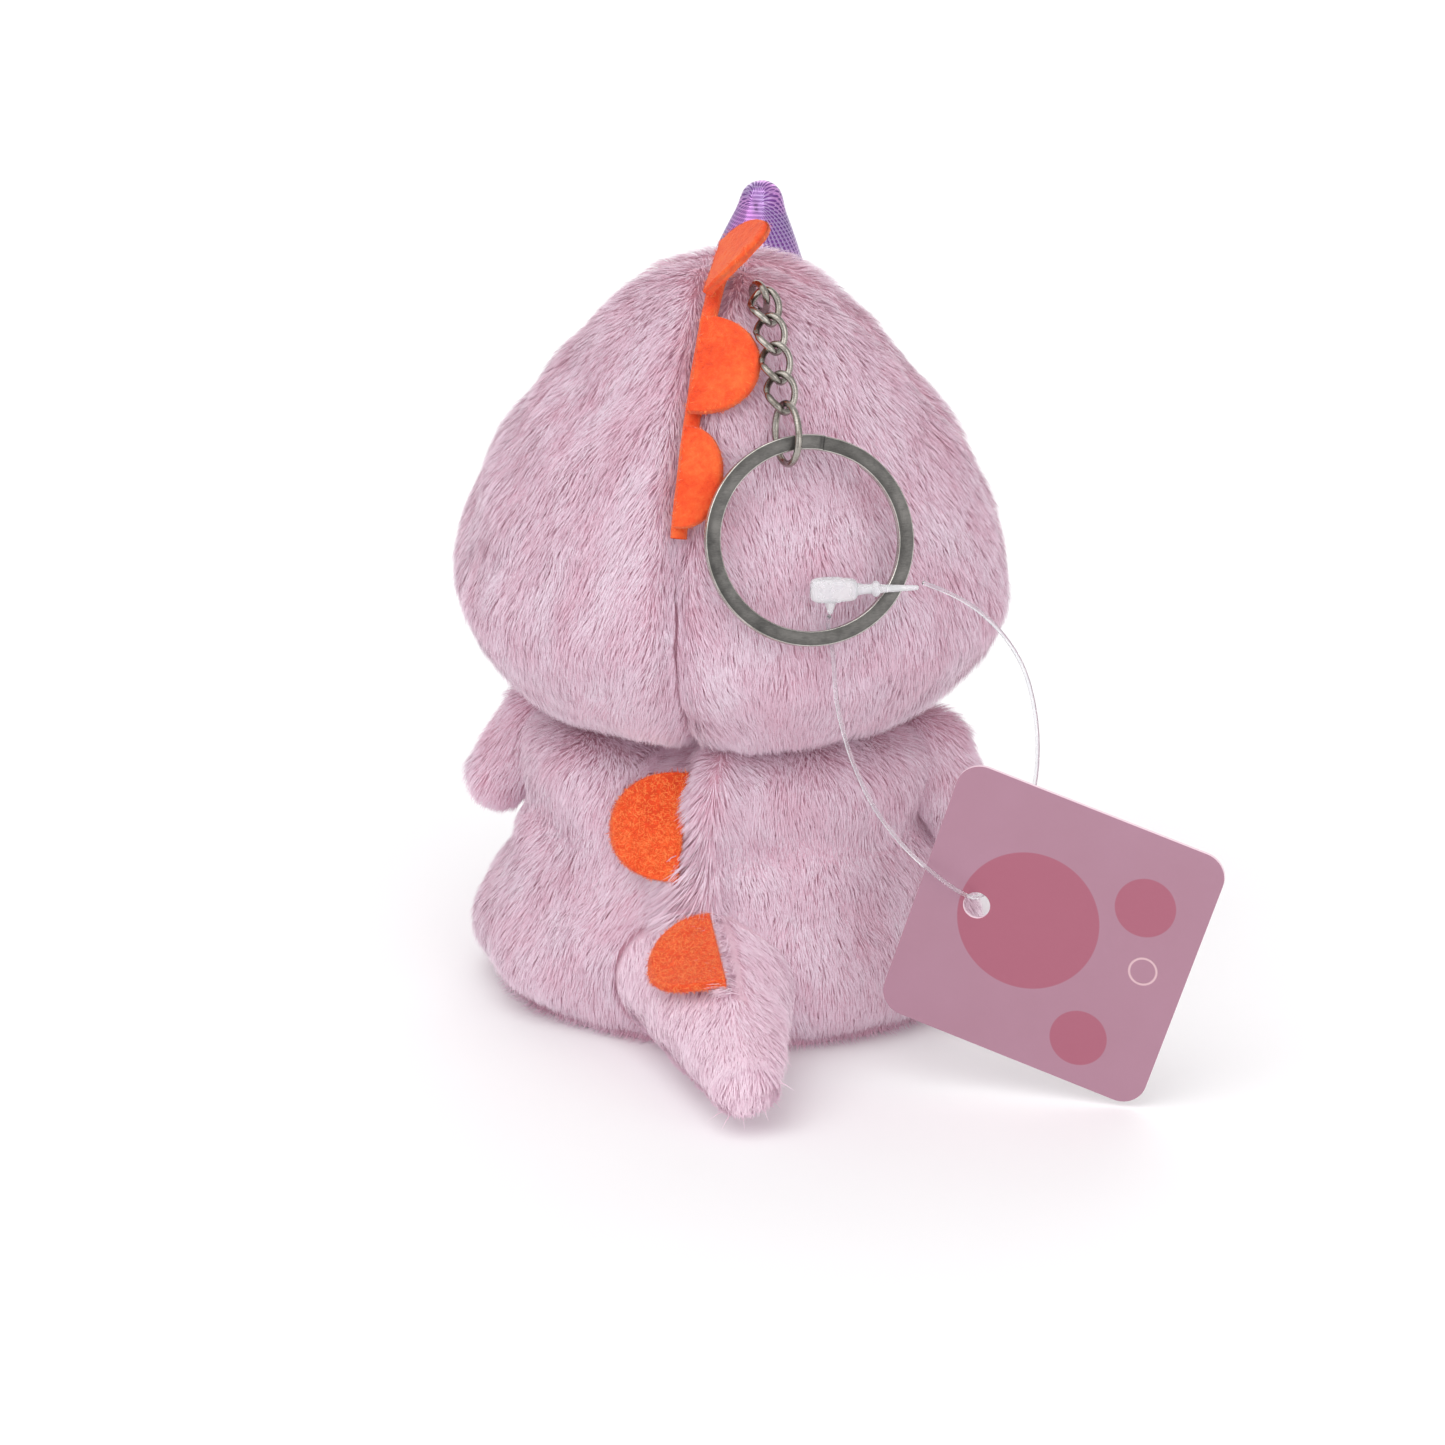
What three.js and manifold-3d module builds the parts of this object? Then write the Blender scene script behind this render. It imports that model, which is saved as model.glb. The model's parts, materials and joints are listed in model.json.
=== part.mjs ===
// Plush keychain: a sitting plush creature with a foil horn and a felt crest. A curb chain sewn to its
// crown carries a split ring, and a nylon loop fastener on the ring carries a hang tag. Millimetres, +Z
// up. The flat seat stands on z = 0, centred on the origin, and the creature faces -Y. Left and right are
// the creature's own, so left is +X.
import * as THREE from 'three';
import { mergeVertices } from 'three/addons/utils/BufferGeometryUtils.js';
import Module from 'manifold-3d';

const wasm = await Module();
wasm.setup();
const { Manifold } = wasm;

// ---- driving dimensions -------------------------------------------------------------------------
const GAP = 0.35;                 // clearance between pieces that touch
const FUR = 2.0;                  // thickness of the fur fabric, backing and pressed pile together
const FELT = 1.2;                 // thickness of the crest's felt
const SEAT_FABRIC = 2.0;          // thickness of the flat seat panel

const HEAD = {
  outline: [
    [0, 34.9], [9, 35.2], [17, 36.8], [24, 39.2], [29.5, 42.8], [33.4, 47.2], [35, 52.5],
    [33.9, 59.5], [30.8, 68], [25.8, 76.5], [20, 84], [14.6, 89.4], [8.4, 93.2], [0, 94.8],
  ],
  depth: 0.88,                    // front-to-back size over width
};
const BODY = {
  outline: [                      // its first points lie under z = 0, where the seat is cut flat
    [0, -0.4], [26, -0.4], [29.6, 1.2], [32.2, 4.6], [32.6, 9], [31, 14],
    [28.2, 19.5], [25.8, 25], [23.4, 29.6], [19.5, 32.8], [12, 34], [0, 34.1],
  ],
  depth: 0.86,
};
const NECK_RADIUS = 12;           // the hole in both skins where the head is sewn on
const SIDE_SEAM = { y: -3, slope: -0.18 };      // the plane of the seams from the crown down the flanks
const SLIVER = 20;                // bodies under this volume, in cubic millimetres, are offcuts

const HORN = {
  base: [0, -12.8, 86], tip: [0, -16.6, 99.4], radius: 8.4, tipRadius: 2.7, fabric: 0.7, buried: 4,
};

const ARM = { shoulder: [24.5, -1.5, 31.5], tip: [29.5, 1, 25.5], rootRadius: 6.6, tipRadius: 5.2 };
const FOOT = { hip: [15.5, -17, 10.2], tip: [18.5, -33.5, 9.2], rootRadius: 9.2, tipRadius: 8.6 };
const TAIL = {
  root: [-1.5, 20, 9.6], tip: [-13.2, 47.5, 5.8], rootRadius: 12.6, tipRadius: 5.2,
  height: 0.76, clear: 0.15,
};
const SWING_ROOM = { arm: 2.2, foot: 1.2, tail: 1.6 };    // how far skins and stuffing keep clear of limbs

const EYE = {
  turn: 30, height: 57, domeRadius: 3.3, dome: 2.1, rim: 0.3, lift: 0.9,
  stemRadius: 0.9, stem: 5.4, washerRadius: 3.8, washer: 0.9, room: 5.6,
};
const MOUTH = { height: 50.5, halfWidth: 2.6, rise: 0.9, thread: 0.5, proud: 0.95 };

// Each spine is a half-disc of felt sewn in the back seam: the heights of its sewn edge's ends (on the
// tail, shares of its length), its reach and the angle by which it stands off the fur. side is the way it
// is folded: -1 to the right.
const SPINES = [
  { name: 'head_spine_1', form: 'head', from: 94.2, to: 89.6, reach: 9.6, lift: 52, side: -1 },
  { name: 'head_spine_2', form: 'head', from: 88.4, to: 78.6, reach: 7.7, lift: 4, side: -1 },
  { name: 'head_spine_3', form: 'head', from: 77.4, to: 66.4, reach: 5, lift: 1, side: -1 },
  { name: 'body_spine', form: 'body', from: 32.4, to: 20.6, reach: 10.2, lift: 6, side: 1 },
  { name: 'tail_spine', form: 'tail', from: 0.26, to: 0.68, reach: 9.2, lift: 2, side: 1 },
];

// A spine's outline bulges by these, stands this far off the seam and starts this far from it. The strip
// that joins the head's spines runs through these heights, this proud of the seam and this deep in it.
const CREST = { fullness: 1.25, flare: 0.6, standoff: 1.1, edge: 0.5 };
const STRIP = { heights: [94, 91, 87, 82, 76, 70, 65.6], proud: 0.1, deep: [1.3, 1.1] };

const CHAIN = {
  wire: 0.85, width: 4.2, pitch: 3.9, links: 4, play: 0.14, twist: 45,
  start: [-6.1, 10.6], heading: 27.5, standoff: 2.1, endStandoff: 3.5, run: 18,
};
const ANCHOR = { down: [0.4, -0.74, -0.52], pocket: [5.6, 5.6, 9], pocketDrop: 1.2, forward: 0.6 };
const END_LINK = { length: 8.2, width: 6.1, tilt: -72, play: 0.6 };
const RING = {
  radius: 12.5, band: 1.8, grip: 1.15, coil: 0.72, split: 0.12, jog: 26, jogAt: 78,
  turnOut: 25, leanBack: 18, swing: 9,    // grip: how far inside the rim the end link's turning point lies
};

// The lock's housing, the collar on its stem and its spike, and where it lies in the ring's own frame.
const LOCK = {
  length: 5.6, height: 3.0, depth: 2.2, bevel: 0.3, chamfer: 0.4, round: 0.8, stem: 7.4, stemRadius: 0.62,
  collar: [1.1, 1.7, 1.3], collarAt: 2.2, spike: 1.5, spikeRadius: 0.75, spikeAt: -0.4,
  at: [2.3, -6, 1.5], rise: 5, lean: 20,
};
const TAG = {
  side: 33.5, corner: 3, card: 0.6, hole: 1.7, holeInset: 7.2, mark: 1.7, markInset: 5.2, markDepth: 0.15,
  centre: [-46.8, 31, 21], roll: 18,
};
const FILAMENT = 0.5;
const FILAMENT_ROUTE = [
  [-29.3, 24.1, 61.1], [-32.3, 22.3, 59.4], [-35.4, 20.6, 57], [-38.4, 19.5, 53.6],
  [-40.8, 19.5, 49.6], [-42.4, 20.6, 44.6], [-43, 22.2, 39], [-42.4, 24, 33.4],
  [-41, 26.2, 28.4], [-39.2, 28.6, 25.6], [-37.7, 31, 24.9], [-36.2, 33, 26],
  [-33, 33, 28], [-29, 31.2, 30.4], [-25.3, 29.6, 33.9], [-22.9, 28.9, 37.8],
  [-21.2, 28.6, 42], [-19.9, 28.3, 47], [-19.3, 27.6, 52.1], [-18.7, 26.7, 54.3],
  [-18.4, 26.5, 55.5], [-18.5, 26.9, 56.7], [-18.7, 27.3, 57.1],
];

// ---- materials ----------------------------------------------------------------------------------
const finish = (color, roughness, metalness = 0) => (
  new THREE.MeshStandardMaterial({ color, roughness, metalness })
);
const PINK_FUR = finish(0xe3bfca, 0.95);
const PALE_FUR = finish(0xeed4dc, 0.95);
const STUFFING = finish(0xf4f2ee, 1);
const ORANGE_FELT = finish(0xff5a14, 0.9);
const FOIL = finish(0xa98cc4, 0.35, 0.6);
const NICKEL = finish(0x8d8b84, 0.35, 1);
const BLACK_PLASTIC = finish(0x111114, 0.12);
const WHITE_PLASTIC = finish(0xf2f2f2, 0.4);
const NYLON = finish(0xf4f4f8, 0.3);
const CARD = finish(0xbe85a3, 0.6);
const THREAD = finish(0x7a3b4c, 0.8);

// ---- solids -------------------------------------------------------------------------------------
const vec = (p) => new THREE.Vector3(...p);
const radians = THREE.MathUtils.degToRad;

/**
 * A closed geometry as a solid: its vertices merged, flat and doubled faces dropped, faces turned
 * outwards.
 */
function solid(geometry) {
  const bare = new THREE.BufferGeometry();
  bare.setAttribute('position', geometry.attributes.position.clone());
  const count = geometry.attributes.position.count;
  bare.setIndex(geometry.index ? [...geometry.index.array] : [...Array(count).keys()]);
  const merged = mergeVertices(bare, 1e-4);
  const faces = new Map();
  for (let i = 0; i < merged.index.count; i += 3) {
    const face = [0, 1, 2].map((k) => merged.index.getX(i + k));
    const key = [...face].sort((a, b) => a - b).join();
    if (new Set(face).size < 3) continue;
    if (faces.has(key)) faces.delete(key);
    else faces.set(key, face);
  }
  const vertProperties = new Float32Array(merged.attributes.position.array);
  const closed = (corners) => (
    new Manifold(new wasm.Mesh({ numProp: 3, vertProperties, triVerts: Uint32Array.from(corners) }))
  );
  const made = closed([...faces.values()].flat());
  if (made.volume() > 0) return made;
  return closed([...faces.values()].flatMap(([a, b, c]) => [a, c, b]));
}

/** A solid as a geometry with flat normals. */
function geometry(shape) {
  const mesh = shape.getMesh();
  const made = new THREE.BufferGeometry();
  const positions = new Float32Array(mesh.numVert * 3);
  for (let i = 0; i < mesh.numVert; i += 1) {
    for (let k = 0; k < 3; k += 1) positions[3 * i + k] = mesh.vertProperties[i * mesh.numProp + k];
  }
  made.setAttribute('position', new THREE.BufferAttribute(positions, 3));
  made.setIndex(new THREE.BufferAttribute(new Uint32Array(mesh.triVerts), 1));
  made.computeVertexNormals();
  return made;
}

/** The biggest of the bodies that a cut leaves, so that a sliver never stays behind. */
function biggest(shape) {
  return shape.decompose().sort((a, b) => b.volume() - a.volume())[0];
}

/** Of the bodies that a cut leaves, the one whose middle lies furthest along a direction. */
function furthest(shape, direction) {
  const way = vec(direction);
  const reach = (body) => {
    const { min, max } = body.boundingBox();
    return vec(min).add(vec(max)).dot(way);
  };
  return shape.decompose().filter((body) => body.volume() > SLIVER).sort((a, b) => reach(b) - reach(a))[0];
}

/** Several solids joined. */
const together = (shapes) => shapes.reduce((all, one) => all.add(one));

function box(x, y, z, centre) {
  return solid(new THREE.BoxGeometry(x, y, z).translate(...centre));
}

/** A rod between two points. */
function rod(from, to, radius, sides = 16) {
  const axis = to.clone().sub(from);
  const made = new THREE.CylinderGeometry(radius, radius, axis.length(), sides);
  const up = new THREE.Vector3(0, 1, 0);
  made.applyQuaternion(new THREE.Quaternion().setFromUnitVectors(up, axis.clone().normalize()));
  const middle = from.clone().lerp(to, 0.5);
  return solid(made.translate(middle.x, middle.y, middle.z));
}

/** Half an outline, radius against height, moved inwards by inset and turned round the Z axis. */
function turned(outline, inset = 0, segments = 26, rings = 15) {
  const curve = new THREE.SplineCurve(outline.map(([r, z]) => new THREE.Vector2(r, z)));
  const points = [];
  for (let i = 0; i <= rings; i += 1) {
    const at = curve.getPointAt(i / rings);
    const tangent = curve.getTangentAt(i / rings);
    if (i === 0 || i === rings) tangent.set(i === 0 ? 1 : -1, 0);
    const point = new THREE.Vector2(at.x - tangent.y * inset, at.y + tangent.x * inset);
    points.push(new THREE.Vector2(i === 0 || i === rings ? 0 : Math.max(point.x, 0.05), point.y));
  }
  return new THREE.LatheGeometry(points, segments).rotateX(Math.PI / 2);
}

/**
 * The last point of a form's outline, radius and height, for which a test holds, searched for upwards
 * from a share.
 */
function outlinePoint(form, holds, from = 0) {
  const curve = new THREE.SplineCurve(form.outline.map(([r, z]) => new THREE.Vector2(r, z)));
  let [low, high] = [from, 1];
  for (let i = 0; i < 30; i += 1) {
    const middle = (low + high) / 2;
    if (holds(curve.getPoint(middle))) low = middle;
    else high = middle;
  }
  return curve.getPoint(low);
}

/** A form's radius at a height. */
const radiusAt = (form, height) => outlinePoint(form, (point) => point.y < height).x;

/** The solid of a soft form, turned from its outline and narrowed from front to back. */
function soft(form, inset = 0) {
  return solid(turned(form.outline, inset).scale(1, form.depth, 1));
}

/**
 * A limb: a turned solid that runs from a round root at one point to a round tip at another, grown all
 * over.
 */
function limb(from, to, rootRadius, tipRadius, grow = 0) {
  const start = vec(from);
  const axis = vec(to).sub(start);
  const length = axis.length();
  const steps = 4;
  const outline = [];
  for (let i = 0; i <= steps; i += 1) {
    const angle = (i / steps) * 90;
    outline.push([rootRadius * Math.sin(radians(angle)), -rootRadius * Math.cos(radians(angle))]);
  }
  for (let i = 0; i <= steps; i += 1) {
    const angle = (i / steps) * 90;
    outline.push([tipRadius * Math.cos(radians(angle)), length + tipRadius * Math.sin(radians(angle))]);
  }
  const points = outline.map(([r, z], i) => {
    const end = i === 0 || i === outline.length - 1;
    const middle = Math.min(Math.max(z, 0), length);
    const size = Math.hypot(r, z - middle) || 1;
    const more = 1 + grow / size;
    return new THREE.Vector2(end ? 0 : r * more, middle + (z - middle) * more);
  });
  const made = new THREE.LatheGeometry(points, 16).rotateX(Math.PI / 2);
  const [origin, up] = [new THREE.Vector3(), new THREE.Vector3(0, 0, 1)];
  const frame = new THREE.Matrix4().lookAt(axis.clone().normalize(), origin, up);
  return solid(made.applyMatrix4(frame).translate(start.x, start.y, start.z));
}

/** A closed wire that follows a closed curve. */
function wireLoop(curve, radius, sides = 6, steps = 22) {
  const made = new THREE.TorusGeometry(1, radius, sides, steps);
  const { normals, binormals } = curve.computeFrenetFrames(steps, true);
  const place = made.attributes.position;
  for (let j = 0; j <= sides; j += 1) {
    for (let i = 0; i <= steps; i += 1) {
      const around = (j / sides) * 2 * Math.PI;
      const at = curve.getPointAt((i % steps) / steps);
      at.addScaledVector(normals[i % steps], radius * Math.cos(around));
      at.addScaledVector(binormals[i % steps], radius * Math.sin(around));
      place.setXYZ(j * (steps + 1) + i, at.x, at.y, at.z);
    }
  }
  return geometry(solid(made));
}

/** A chain link's centreline: an oval along Z whose plane turns from one end to the other. */
class LinkCurve extends THREE.Curve {
  constructor(halfLength, halfWidth, topAngle, bottomAngle) {
    super();
    Object.assign(this, { halfLength, halfWidth, topAngle, bottomAngle });
  }

  getPoint(t, target = new THREE.Vector3()) {
    const angle = t * 2 * Math.PI;
    const along = Math.cos(angle);
    const side = this.halfWidth * Math.sin(angle);
    const plane = radians(THREE.MathUtils.lerp(this.bottomAngle, this.topAngle, (along + 1) / 2));
    return target.set(side * Math.cos(plane), side * Math.sin(plane), this.halfLength * along);
  }
}

/**
 * The split ring's centreline in its own plane: nearly two turns, with a jog from the front coil to
 * the back one.
 */
class SplitCurve extends THREE.Curve {
  getPoint(t, target = new THREE.Vector3()) {
    const { radius, band, coil, split, jog } = RING;
    const turn = t * (720 - jog);
    const across = THREE.MathUtils.smoothstep(turn, 360 - jog, 360);
    const angle = radians(turn);
    const middle = radius - band / 2;
    const offset = ((coil + split) / 2) * (1 - 2 * across);
    return target.set(middle * Math.cos(angle), middle * Math.sin(angle), offset);
  }
}

// ---- the model ----------------------------------------------------------------------------------
const keychain = new THREE.Group();

function add(name, shape, material, parent = keychain) {
  const mesh = new THREE.Mesh(shape.isBufferGeometry ? shape : geometry(shape), material);
  mesh.name = name;
  parent.add(mesh);
  return mesh;
}

// Limbs first, because the skins and the stuffing are hollowed where the limbs swing.
const onSide = (side, [x, y, z]) => [side * x, y, z];
const armShape = (side, grow) => limb(
  onSide(side, ARM.shoulder), onSide(side, ARM.tip), ARM.rootRadius, ARM.tipRadius, grow,
);
const footShape = (side, grow) => limb(
  onSide(side, FOOT.hip), onSide(side, FOOT.tip), FOOT.rootRadius, FOOT.tipRadius, grow,
);

/** The tail: a limb pressed flatter, whose middle line slopes down to the tip. */
function tailShape(grow) {
  const flat = limb([TAIL.root[0], TAIL.root[1], 0], [TAIL.tip[0], TAIL.tip[1], 0],
    TAIL.rootRadius, TAIL.tipRadius, grow);
  const slope = (TAIL.tip[2] - TAIL.root[2]) / (TAIL.tip[1] - TAIL.root[1]);
  const made = geometry(flat);
  const place = made.attributes.position;
  for (let i = 0; i < place.count; i += 1) {
    const z = place.getZ(i) * TAIL.height + TAIL.root[2] + (place.getY(i) - TAIL.root[1]) * slope;
    place.setZ(i, z);
  }
  return solid(made);
}

/** Everything below a height, as a block that cuts a piece level. */
const below = (height) => box(200, 200, 40, [0, 0, height - 20]);

const headEnvelope = soft(HEAD, -GAP);
const limbSpaces = together([tailShape(SWING_ROOM.tail),
  ...[1, -1].flatMap((side) => [armShape(side, SWING_ROOM.arm), footShape(side, SWING_ROOM.foot)])]);

// Head: three fur panels round a stuffed core, open at the neck and cut along the seams.
function wall(form) {
  return soft(form).subtract(soft(form, FUR));
}

/** Cuts a skin along its back seam and along the seam from side to side. */
function alongSeams(skin, form, backSeam) {
  const middle = (form.outline[0][1] + form.outline.at(-1)[1]) / 2;
  const sideSeam = new THREE.BoxGeometry(120, GAP, 160);
  sideSeam.rotateX(SIDE_SEAM.slope).translate(0, SIDE_SEAM.y, middle);
  return skin.subtract(solid(sideSeam)).subtract(box(backSeam, 60, 160, [0, 28, middle]));
}

const neckHole = rod(vec([0, 0, 30]), vec([0, 0, 39]), NECK_RADIUS, 24);

// The chain's path lies in an upright plane and follows the back of the head at a small distance.
const heading = new THREE.Vector3(-Math.sin(radians(CHAIN.heading)), Math.cos(radians(CHAIN.heading)), 0);
const across = new THREE.Vector3(Math.cos(radians(CHAIN.heading)), Math.sin(radians(CHAIN.heading)), 0);

/** The height of the head's upper surface over a point of the plan. */
function crownHeight(x, y) {
  const radius = Math.hypot(x, y / HEAD.depth);
  return outlinePoint(HEAD, (point) => point.x > radius, 0.5).y;
}

/** A point of the chain's path: s is the distance travelled in plan from the first pivot. */
function chainPoint(s) {
  const spot = (d) => {
    const p = new THREE.Vector3(...CHAIN.start, 0).addScaledVector(heading, d);
    p.z = crownHeight(p.x, p.y);
    return p;
  };
  const along = spot(s + 0.2).sub(spot(s - 0.2)).normalize();
  const outward = across.clone().cross(along).multiplyScalar(-1);
  if (outward.z < 0) outward.multiplyScalar(-1);
  const standoff = THREE.MathUtils.lerp(CHAIN.standoff, CHAIN.endStandoff, s / CHAIN.run);
  return spot(s).addScaledVector(outward, standoff);
}

/** The path's next pivot, a given straight distance on. */
function nextPivot(s, distance) {
  const from = chainPoint(s);
  let d = s;
  while (chainPoint(d).distanceTo(from) < distance) d += 0.01;
  return d;
}

const endPitch = END_LINK.length - 2 * CHAIN.wire - RING.grip - END_LINK.play;
const stations = [0];
for (let i = 0; i < CHAIN.links; i += 1) stations.push(nextPivot(stations.at(-1), CHAIN.pitch));
stations.push(nextPivot(stations.at(-1), endPitch));
const pivots = stations.map(chainPoint);

/** The frame of a link: Z up the chain, Y away from the head, X to the creature's left. */
function linkFrame(upper, lower) {
  const up = upper.clone().sub(lower).normalize();
  const side = across.clone().addScaledVector(up, -across.dot(up)).normalize();
  return new THREE.Quaternion().setFromRotationMatrix(
    new THREE.Matrix4().makeBasis(side, up.clone().cross(side), up),
  );
}

const linkLength = CHAIN.pitch + 2 * CHAIN.wire + CHAIN.play;
const curbLink = wireLoop(new LinkCurve((linkLength - CHAIN.wire) / 2, (CHAIN.width - CHAIN.wire) / 2,
  -CHAIN.twist, CHAIN.twist), CHAIN.wire / 2);

// The anchor link, a plain one, lies square to the first link's upper end and runs down into a pocket of
// the skin and the stuffing, so that half of it is under the fur.
const anchorDown = vec(ANCHOR.down).normalize();
const firstWire = new THREE.Vector3(Math.cos(radians(CHAIN.twist)), -Math.sin(radians(CHAIN.twist)), 0)
  .applyQuaternion(linkFrame(pivots[0], pivots[1]));
const anchorSide = anchorDown.clone().cross(firstWire).normalize();
const anchorTurn = new THREE.Quaternion().setFromRotationMatrix(new THREE.Matrix4().makeBasis(
  anchorSide, anchorSide.clone().cross(anchorDown), anchorDown.clone().negate(),
));
const anchorCentre = pivots[0].clone().addScaledVector(anchorDown, CHAIN.pitch / 2 - ANCHOR.forward);
const pocketCentre = anchorCentre.clone().addScaledVector(anchorDown, ANCHOR.pocketDrop);
const pocketBlock = new THREE.BoxGeometry(...ANCHOR.pocket).applyQuaternion(anchorTurn);
const pocket = solid(pocketBlock.translate(...pocketCentre));

const headSkin = alongSeams(wall(HEAD).subtract(neckHole), HEAD, FELT + 2 * GAP).subtract(limbSpaces);
const eyes = [1, -1].map((side) => {
  const radius = radiusAt(HEAD, EYE.height);
  const turn = radians(EYE.turn);
  const centre = vec([side * radius * Math.sin(turn), -radius * HEAD.depth * Math.cos(turn), EYE.height]);
  const slope = (radiusAt(HEAD, EYE.height - 1) - radiusAt(HEAD, EYE.height + 1)) / 2;
  const outward = new THREE.Vector3(centre.x, centre.y / HEAD.depth ** 2, slope * radius).normalize();
  const along = (distance) => centre.clone().addScaledVector(outward, distance);
  return { along, outward, name: side > 0 ? 'left' : 'right' };
});
const eyeSpace = (start, radius, sides) => together(
  eyes.map(({ along }) => rod(along(start), along(-EYE.room), radius + GAP, sides)),
);
const eyeCuts = eyeSpace(3, EYE.stemRadius, 12);
const washerRoom = eyeSpace(-1, EYE.washerRadius, 20);

const backPanels = headSkin.subtract(pocket);
add('head_back_left', furthest(backPanels, [1, 1, 0]), PINK_FUR);
add('head_back_right', furthest(backPanels, [-1, 1, 0]), PINK_FUR);
add('face_panel', furthest(headSkin.subtract(eyeCuts), [0, -1, 0]), PINK_FUR);
const headCore = soft(HEAD, FUR + GAP).subtract(pocket).subtract(washerRoom).subtract(limbSpaces);
add('head_stuffing', biggest(headCore), STUFFING);

// Eyes: a domed head on a stem that a washer holds behind the fabric.
for (const { along, outward, name } of eyes) {
  const turn = new THREE.Quaternion().setFromUnitVectors(new THREE.Vector3(0, 1, 0), outward);
  const profile = [[0, EYE.dome]];
  for (let angle = 18; angle <= 90; angle += 18) {
    profile.push([EYE.domeRadius * Math.sin(radians(angle)), EYE.dome * Math.cos(radians(angle))]);
  }
  profile.push([EYE.domeRadius - 0.2, -EYE.rim], [EYE.stemRadius, -EYE.rim]);
  profile.push([EYE.stemRadius, -EYE.stem], [0, -EYE.stem]);
  const eye = new THREE.LatheGeometry(profile.map(([r, y]) => new THREE.Vector2(r, y)), 20);
  add(`eye_${name}`, solid(eye.applyQuaternion(turn).translate(...along(EYE.lift))), BLACK_PLASTIC);
  const bore = EYE.stemRadius + 0.3;
  const rim = EYE.washerRadius;
  const washer = [[bore, 0], [rim, 0], [rim, EYE.washer], [bore, EYE.washer], [bore, 0]];
  const plate = new THREE.LatheGeometry(washer.map(([r, y]) => new THREE.Vector2(r, y)), 20);
  const behind = along(-FUR - EYE.washer - 3 * GAP);
  add(`eye_washer_${name}`, solid(plate.applyQuaternion(turn).translate(...behind)), WHITE_PLASTIC);
}

// Horn: a foil cone, open underneath, over its own stuffing, both cut to the head.
const hornAxis = vec(HORN.tip).sub(vec(HORN.base)).normalize();
const hornBase = vec(HORN.base).addScaledVector(hornAxis, -HORN.buried).toArray();
const hornTip = vec(HORN.tip).addScaledVector(hornAxis, -HORN.tipRadius).toArray();
const horn = (grow) => limb(hornBase, hornTip, HORN.radius, HORN.tipRadius, grow);
const hornSkin = horn(0).subtract(horn(-HORN.fabric)).subtract(headEnvelope);
add('horn_skin', biggest(hornSkin), FOIL);
add('horn_stuffing', biggest(horn(-HORN.fabric - 0.3).subtract(headEnvelope)), STUFFING);

// Body: two back panels and a belly panel over a flat seat, round a stuffed core.
const seatCut = below(SEAT_FABRIC + GAP);
const openBody = wall(BODY).subtract(seatCut).subtract(neckHole);
const bodySkin = alongSeams(openBody, BODY, FELT + 2 * GAP).subtract(limbSpaces);
add('body_back_left', furthest(bodySkin, [1, 1, 0]), PINK_FUR);
add('body_back_right', furthest(bodySkin, [-1, 1, 0]), PINK_FUR);
add('belly_panel', furthest(bodySkin, [0, -1, 0]), PALE_FUR);
add('body_stuffing', biggest(soft(BODY, FUR + GAP).subtract(seatCut).subtract(limbSpaces)), STUFFING);
const seat = soft(BODY).intersect(below(SEAT_FABRIC)).subtract(below(0)).subtract(limbSpaces);
add('seat_panel', biggest(seat), PINK_FUR);

// Limbs: the arms are cut clear of the head, and the tail lies just above the floor.
for (const side of [1, -1]) {
  const name = side > 0 ? 'left' : 'right';
  add(`arm_${name}`, biggest(armShape(side, 0).subtract(headEnvelope)), PINK_FUR);
  add(`foot_${name}`, footShape(side, 0), PINK_FUR);
}
add('tail', biggest(tailShape(0).subtract(below(TAIL.clear))), PALE_FUR);

// Crest: half-discs of felt along the back seam, and the strip that joins the head's three in the seam.
const forms = { head: HEAD, body: BODY };

/** The back seam's point at a height, or the tail's ridge at a share of its length. */
function seamPoint(form, place) {
  if (form !== 'tail') return new THREE.Vector3(0, radiusAt(forms[form], place) * forms[form].depth, place);
  const radius = THREE.MathUtils.lerp(TAIL.rootRadius, TAIL.tipRadius, place);
  const point = vec(TAIL.root).lerp(vec(TAIL.tip), place);
  point.z += radius * TAIL.height;
  return point;
}

for (const { name, form, from, to, reach, lift, side } of SPINES) {
  const top = seamPoint(form, from);
  const bottom = seamPoint(form, to);
  const edge = top.distanceTo(bottom);
  const down = bottom.clone().sub(top).normalize();
  const lateral = new THREE.Vector3(1, 0, 0).addScaledVector(down, -down.x).normalize();
  const outward = lateral.clone().cross(down);
  const flat = new THREE.Shape();
  flat.moveTo(0, 0);
  const far = reach * CREST.fullness;
  flat.bezierCurveTo(far, -CREST.flare, far, edge + CREST.flare, 0, edge);
  flat.closePath();
  const felt = new THREE.ExtrudeGeometry(flat, { depth: FELT, bevelEnabled: false, curveSegments: 12 });
  const leaning = lateral.multiplyScalar(side * Math.cos(radians(lift)));
  leaning.addScaledVector(outward, Math.sin(radians(lift)));
  const bulge = CREST.standoff + FELT / 2;
  const face = leaning.clone().cross(down);
  const basis = new THREE.Matrix4().makeBasis(leaning, down, face);
  const root = top.clone().addScaledVector(outward, bulge).addScaledVector(leaning, CREST.edge);
  root.addScaledVector(face, -FELT / 2);
  felt.applyMatrix4(basis).translate(root.x, root.y, root.z);
  add(name, solid(felt), ORANGE_FELT);
}
const stripPath = STRIP.heights.map((height) => seamPoint('head', height));
const stripShape = new THREE.Shape([
  ...stripPath.map(({ y, z }) => new THREE.Vector2(y + STRIP.proud, z + STRIP.proud)),
  ...[...stripPath].reverse().map(({ y, z }) => new THREE.Vector2(y - STRIP.deep[0], z - STRIP.deep[1])),
]);
const strip = new THREE.ExtrudeGeometry(stripShape, { depth: FELT, bevelEnabled: false });
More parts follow.
